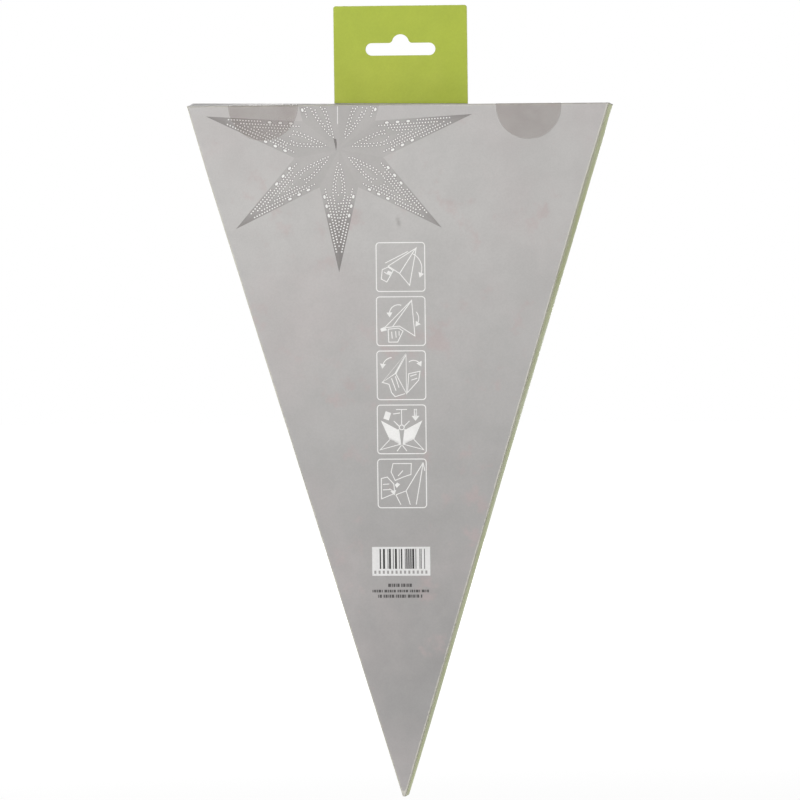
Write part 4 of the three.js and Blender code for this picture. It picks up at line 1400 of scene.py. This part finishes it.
def lamp(index, hub):
    """A round-nosed lamp with its flange, standing out from the hub."""
    node = f"led_lamp_{index + 1}"
    angle = 2 * math.pi * index / LAMPS
    direction = Vector((math.cos(angle), 0, math.sin(angle)))
    profile = [(0, 0), (LAMP_FLANGE, 0), (LAMP_FLANGE, 0.9 * MM), (LAMP_FLANGE - 0.15 * MM, 1 * MM)]
    profile.append((LAMP_RADIUS, 1.05 * MM))
    shoulder = LAMP_LENGTH - LAMP_RADIUS
    for i in range(LAMP_STEPS):
        bend = math.pi / 2 * i / LAMP_STEPS
        profile.append((LAMP_RADIUS * math.cos(bend), shoulder + LAMP_RADIUS * math.sin(bend)))
    profile.append((0, LAMP_LENGTH))
    turn = direction.to_track_quat("Z", "Y").to_matrix().to_4x4()
    bm = turned(profile, Matrix.Translation(hub + direction * LAMP_BASE) @ turn, 24)
    piece(f"finished_{node}", bm, [resin], "carton", [node])


def light_hub(hub):
    """The light's round body, with raised rims, and the square neck that takes the stem."""
    low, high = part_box("light_hub")
    radius, half = (high.x - low.x) / 2, (high.y - low.y) / 2
    edge = [
        (0, half - HUB_SUNK),
        (radius - HUB_RIM - HUB_SUNK, half - HUB_SUNK),
        (radius - HUB_RIM, half),
        (radius - HUB_ROLL, half),
        (radius - 0.3 * HUB_ROLL, half - 0.3 * HUB_ROLL),
        (radius, half - HUB_ROLL),
    ]
    profile = edge + [(across, -along) for across, along in reversed(edge)]
    bm = turned(profile, Matrix.Translation(hub) @ Matrix.Rotation(math.radians(-90), 4, "X"), 48)
    neck, foot = NECK_WIDTH / 2, hub.z + radius / 2
    block = bmesh.ops.create_cube(bm, size=1)["verts"]
    for v in block:
        height = high.z if v.co.z > 0 else foot
        v.co = Vector((hub.x + math.copysign(neck, v.co.x), hub.y + math.copysign(neck, v.co.y), height))
    roll(bm, [e for e in bm.edges if e.verts[0] in block and e.verts[1] in block], NECK_ROLL, 3)
    piece("finished_light_hub", bm, [white_plastic], "carton", ["light_hub"])


def closing_pad(index):
    """A round pad of hook fabric, with its cut edge slightly crushed."""
    node = f"closing_pad_{index + 1}"
    low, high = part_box(node)
    radius, thick = (high.x - low.x) / 2, high.y - low.y
    profile = [
        (0, 0),
        (radius - PAD_CRUSH, 0),
        (radius, PAD_CRUSH),
        (radius - PAD_CRUSH / 2, thick - PAD_CRUSH),
        (radius - 2 * PAD_CRUSH, thick),
        (0, thick),
    ]
    middle = Vector(((low.x + high.x) / 2, low.y, (low.z + high.z) / 2))
    bm = turned(profile, Matrix.Translation(middle) @ Matrix.Rotation(math.radians(-90), 4, "X"), 40)
    piece(f"finished_{node}", bm, [hooks], "carton", [node])


def stem():
    """The bored tube between the hanger bar and the light."""
    low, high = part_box("stem")
    radius, tall = (high.x - low.x) / 2, high.z - low.z
    profile = [
        (STEM_BORE, 0),
        (radius - STEM_EDGE, 0),
        (radius, STEM_EDGE),
        (radius, tall - STEM_EDGE),
        (radius - STEM_EDGE, tall),
        (STEM_BORE, tall),
        (STEM_BORE, 0),
    ]
    bm = turned(profile, Matrix.Translation(((low.x + high.x) / 2, (low.y + high.y) / 2, low.z)))
    piece("finished_stem", bm, [white_plastic], "carton", ["stem"])


def contents():
    """The folded star, the battery box and the light, which lie in the sleeve."""
    for index in range(7):
        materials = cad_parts[f"star_arm_{index + 1}"].data.materials
        materials.clear()
        materials.append(star_paper)
    for index in range(3):
        closing_pad(index)
        battery_cell(index)
    # Each solid with its material, its slot, and how far its edges are broken, in millimetres
    solids = (
        ("battery_case", white_plastic, "white_plastic", 0.35),
        ("battery_cover", white_plastic, "white_plastic", 0.35),
        ("cover_screw", steel, "steel", 0.15),
        ("left_contact_strip", steel, "steel", 0.1),
        ("right_contact_strip", steel, "steel", 0.1),
        ("circuit_board", laminate, "circuit_laminate", 0.1),
        ("switch_body", steel, "steel", 0.25),
        ("switch_knob", black_plastic, "black_plastic", 0.35),
        ("lead_grommet", grey_rubber, "grey_rubber", 0.15),
        ("hanger_bar", white_plastic, "white_plastic", 0.5),
    )
    for node, material, slot, rounding in solids:
        body = "switch" if node == "switch_knob" else "carton"
        dressed(node, material, body, rounding * MM)
    stem()
    boxes = [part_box(f"led_lamp_{index + 1}") for index in range(LAMPS)]
    hub = sum(((low + high) / 2 for low, high in boxes), Vector()) / LAMPS
    light_hub(hub)
    for index in range(LAMPS):
        lamp(index, hub)


def carton():
    panel_piece("back_panel", BACK_OUT, grey)
    panel_piece("front_panel", FRONT_OUT, green)
    panel_piece("left_wall", LEFT_OUT, glossy_sheen_shaded_green)
    panel_piece("right_wall", RIGHT_OUT, glossy_sheen_shaded_green)
    glue_flap_piece()
    lid_piece()
    tuck_piece()
    dust_piece("left", -1)
    dust_piece("right", 1)
    tab_piece("tab_front_ply", FRONT_OUT)
    tab_piece("tab_back_ply", BACK_OUT)


def artwork():
    """The print of the grey back panel, and a plain ivory star on the green front."""
    back_inks = (grey_star_ink, grey_shade_ink)
    star_print("printed_star", -1, STAR_PLACE, STAR_TIPS, back_inks, MM, on_print)
    star_details()
    for index, shares in enumerate(PICTOGRAM_SHARES):
        pictogram(index, shares)
    bar_label()
    small_print()
    turns = [2 * math.pi * i / 7 for i in range(7)]
    tips = [(FRONT_STAR_REACH * math.sin(turn), FRONT_STAR_REACH * math.cos(turn)) for turn in turns]
    front_inks = (ivory_star_ink, ivory_shade_ink)
    star_print("front_star", 1, FRONT_STAR_PLACE, tips, front_inks, FRONT_STAR_UNIT, on_front)


def where_seen(tree):
    """One where the camera sees a surface by itself, in a mirror or through film, and nought elsewhere."""
    paths = put(tree, "ShaderNodeLightPath")
    seen = calculate(tree, "MAXIMUM", paths.outputs["Is Camera Ray"], paths.outputs["Is Glossy Ray"])
    return calculate(tree, "MAXIMUM", seen, paths.outputs["Is Transmission Ray"])


def join_shaders(tree, kind, *sources):
    joined = put(tree, kind)
    for target, given in zip(joined.inputs, sources):
        feed(tree, target, given)
    return joined.outputs[0]


def pale_floor():
    """A pale floor under the hanging carton, which looks nearly white and keeps the carton's shadow."""
    mesh = bpy.data.meshes.new("pale_floor")
    bm = bmesh.new()
    bmesh.ops.create_grid(bm, x_segments=2, y_segments=2, size=FLOOR_HALF)
    bmesh.ops.translate(bm, vec=Vector((0, 0, TIP - FLOOR_DROP)), verts=bm.verts[:])
    bm.to_mesh(mesh)
    bm.free()
    new_object("pale_floor", mesh)
    material = bpy.data.materials.new("pale_floor")
    material.use_nodes = True
    tree = material.node_tree
    shader = tree.nodes["Principled BSDF"]
    shader.inputs["Base Color"].default_value = (0.8, 0.8, 0.8, 1)
    shader.inputs["Roughness"].default_value = 0.9
    span = put(tree, "ShaderNodeVectorMath", operation="LENGTH")
    feed(tree, span.inputs[0], put(tree, "ShaderNodeTexCoord").outputs["Object"])
    glow = put(tree, "ShaderNodeEmission")
    feed(tree, glow.inputs["Strength"], grade(tree, span.outputs["Value"], *FLOOR_GLOW_RUN, *FLOOR_GLOW))
    dim = put(tree, "ShaderNodeBsdfDiffuse")
    dim.inputs["Color"].default_value = (0.24, 0.24, 0.24, 1)
    both = join_shaders(tree, "ShaderNodeAddShader", glow.outputs[0], dim.outputs[0])
    choice = join_shaders(tree, "ShaderNodeMixShader", where_seen(tree), shader.outputs[0], both)
    feed(tree, tree.nodes["Material Output"].inputs["Surface"], choice)
    mesh.materials.append(material)


def pale_world():
    """A world that looks white and lights the carton softly."""
    world = bpy.data.worlds.new("pale_studio")
    bpy.context.scene.world = world
    world.use_nodes = True
    tree = world.node_tree
    tree.nodes.clear()
    bright = put(tree, "ShaderNodeBackground")
    bright.inputs["Color"].default_value = (1, 1, 1, 1)
    soft = put(tree, "ShaderNodeBackground")
    soft.inputs["Strength"].default_value = WORLD_LEVEL
    choice = join_shaders(tree, "ShaderNodeMixShader", where_seen(tree), soft.outputs[0], bright.outputs[0])
    feed(tree, put(tree, "ShaderNodeOutputWorld").inputs["Surface"], choice)


def stage():
    pale_floor()
    pale_world()
    for name, place, size, power in STUDIO_LAMPS:
        light = bpy.data.lights.new(name, "AREA")
        light.shape = "DISK"
        light.size = size
        light.energy = power
        hung = new_object(name, light)
        hung.location = place
        hung.rotation_euler = (CAMERA_AIM - Vector(place)).to_track_quat("-Z", "Y").to_euler()


def camera():
    turn = (
        Matrix.Rotation(CAMERA_YAW, 4, "Z")
        @ Matrix.Rotation(math.radians(90) - CAMERA_PITCH, 4, "X")
        @ Matrix.Rotation(CAMERA_ROLL, 4, "Z")
    )
    forward = turn @ Vector((0, 0, -1))
    data = bpy.data.cameras.new("camera")
    data.lens = CAMERA_LENS
    data.sensor_width = SENSOR_WIDTH
    data.clip_start = 0.05
    made = new_object("camera", data)
    made.matrix_world = Matrix.Translation(CAMERA_AIM - forward * CAMERA_DISTANCE) @ turn
    bpy.context.scene.camera = made


bpy.context.scene.view_settings.view_transform = "Standard"
camera()
stage()
carton()
artwork()
for seal_name in ("left", "right"):
    seal_half(seal_name, "panel")
    seal_half(seal_name, "lid")
contents()
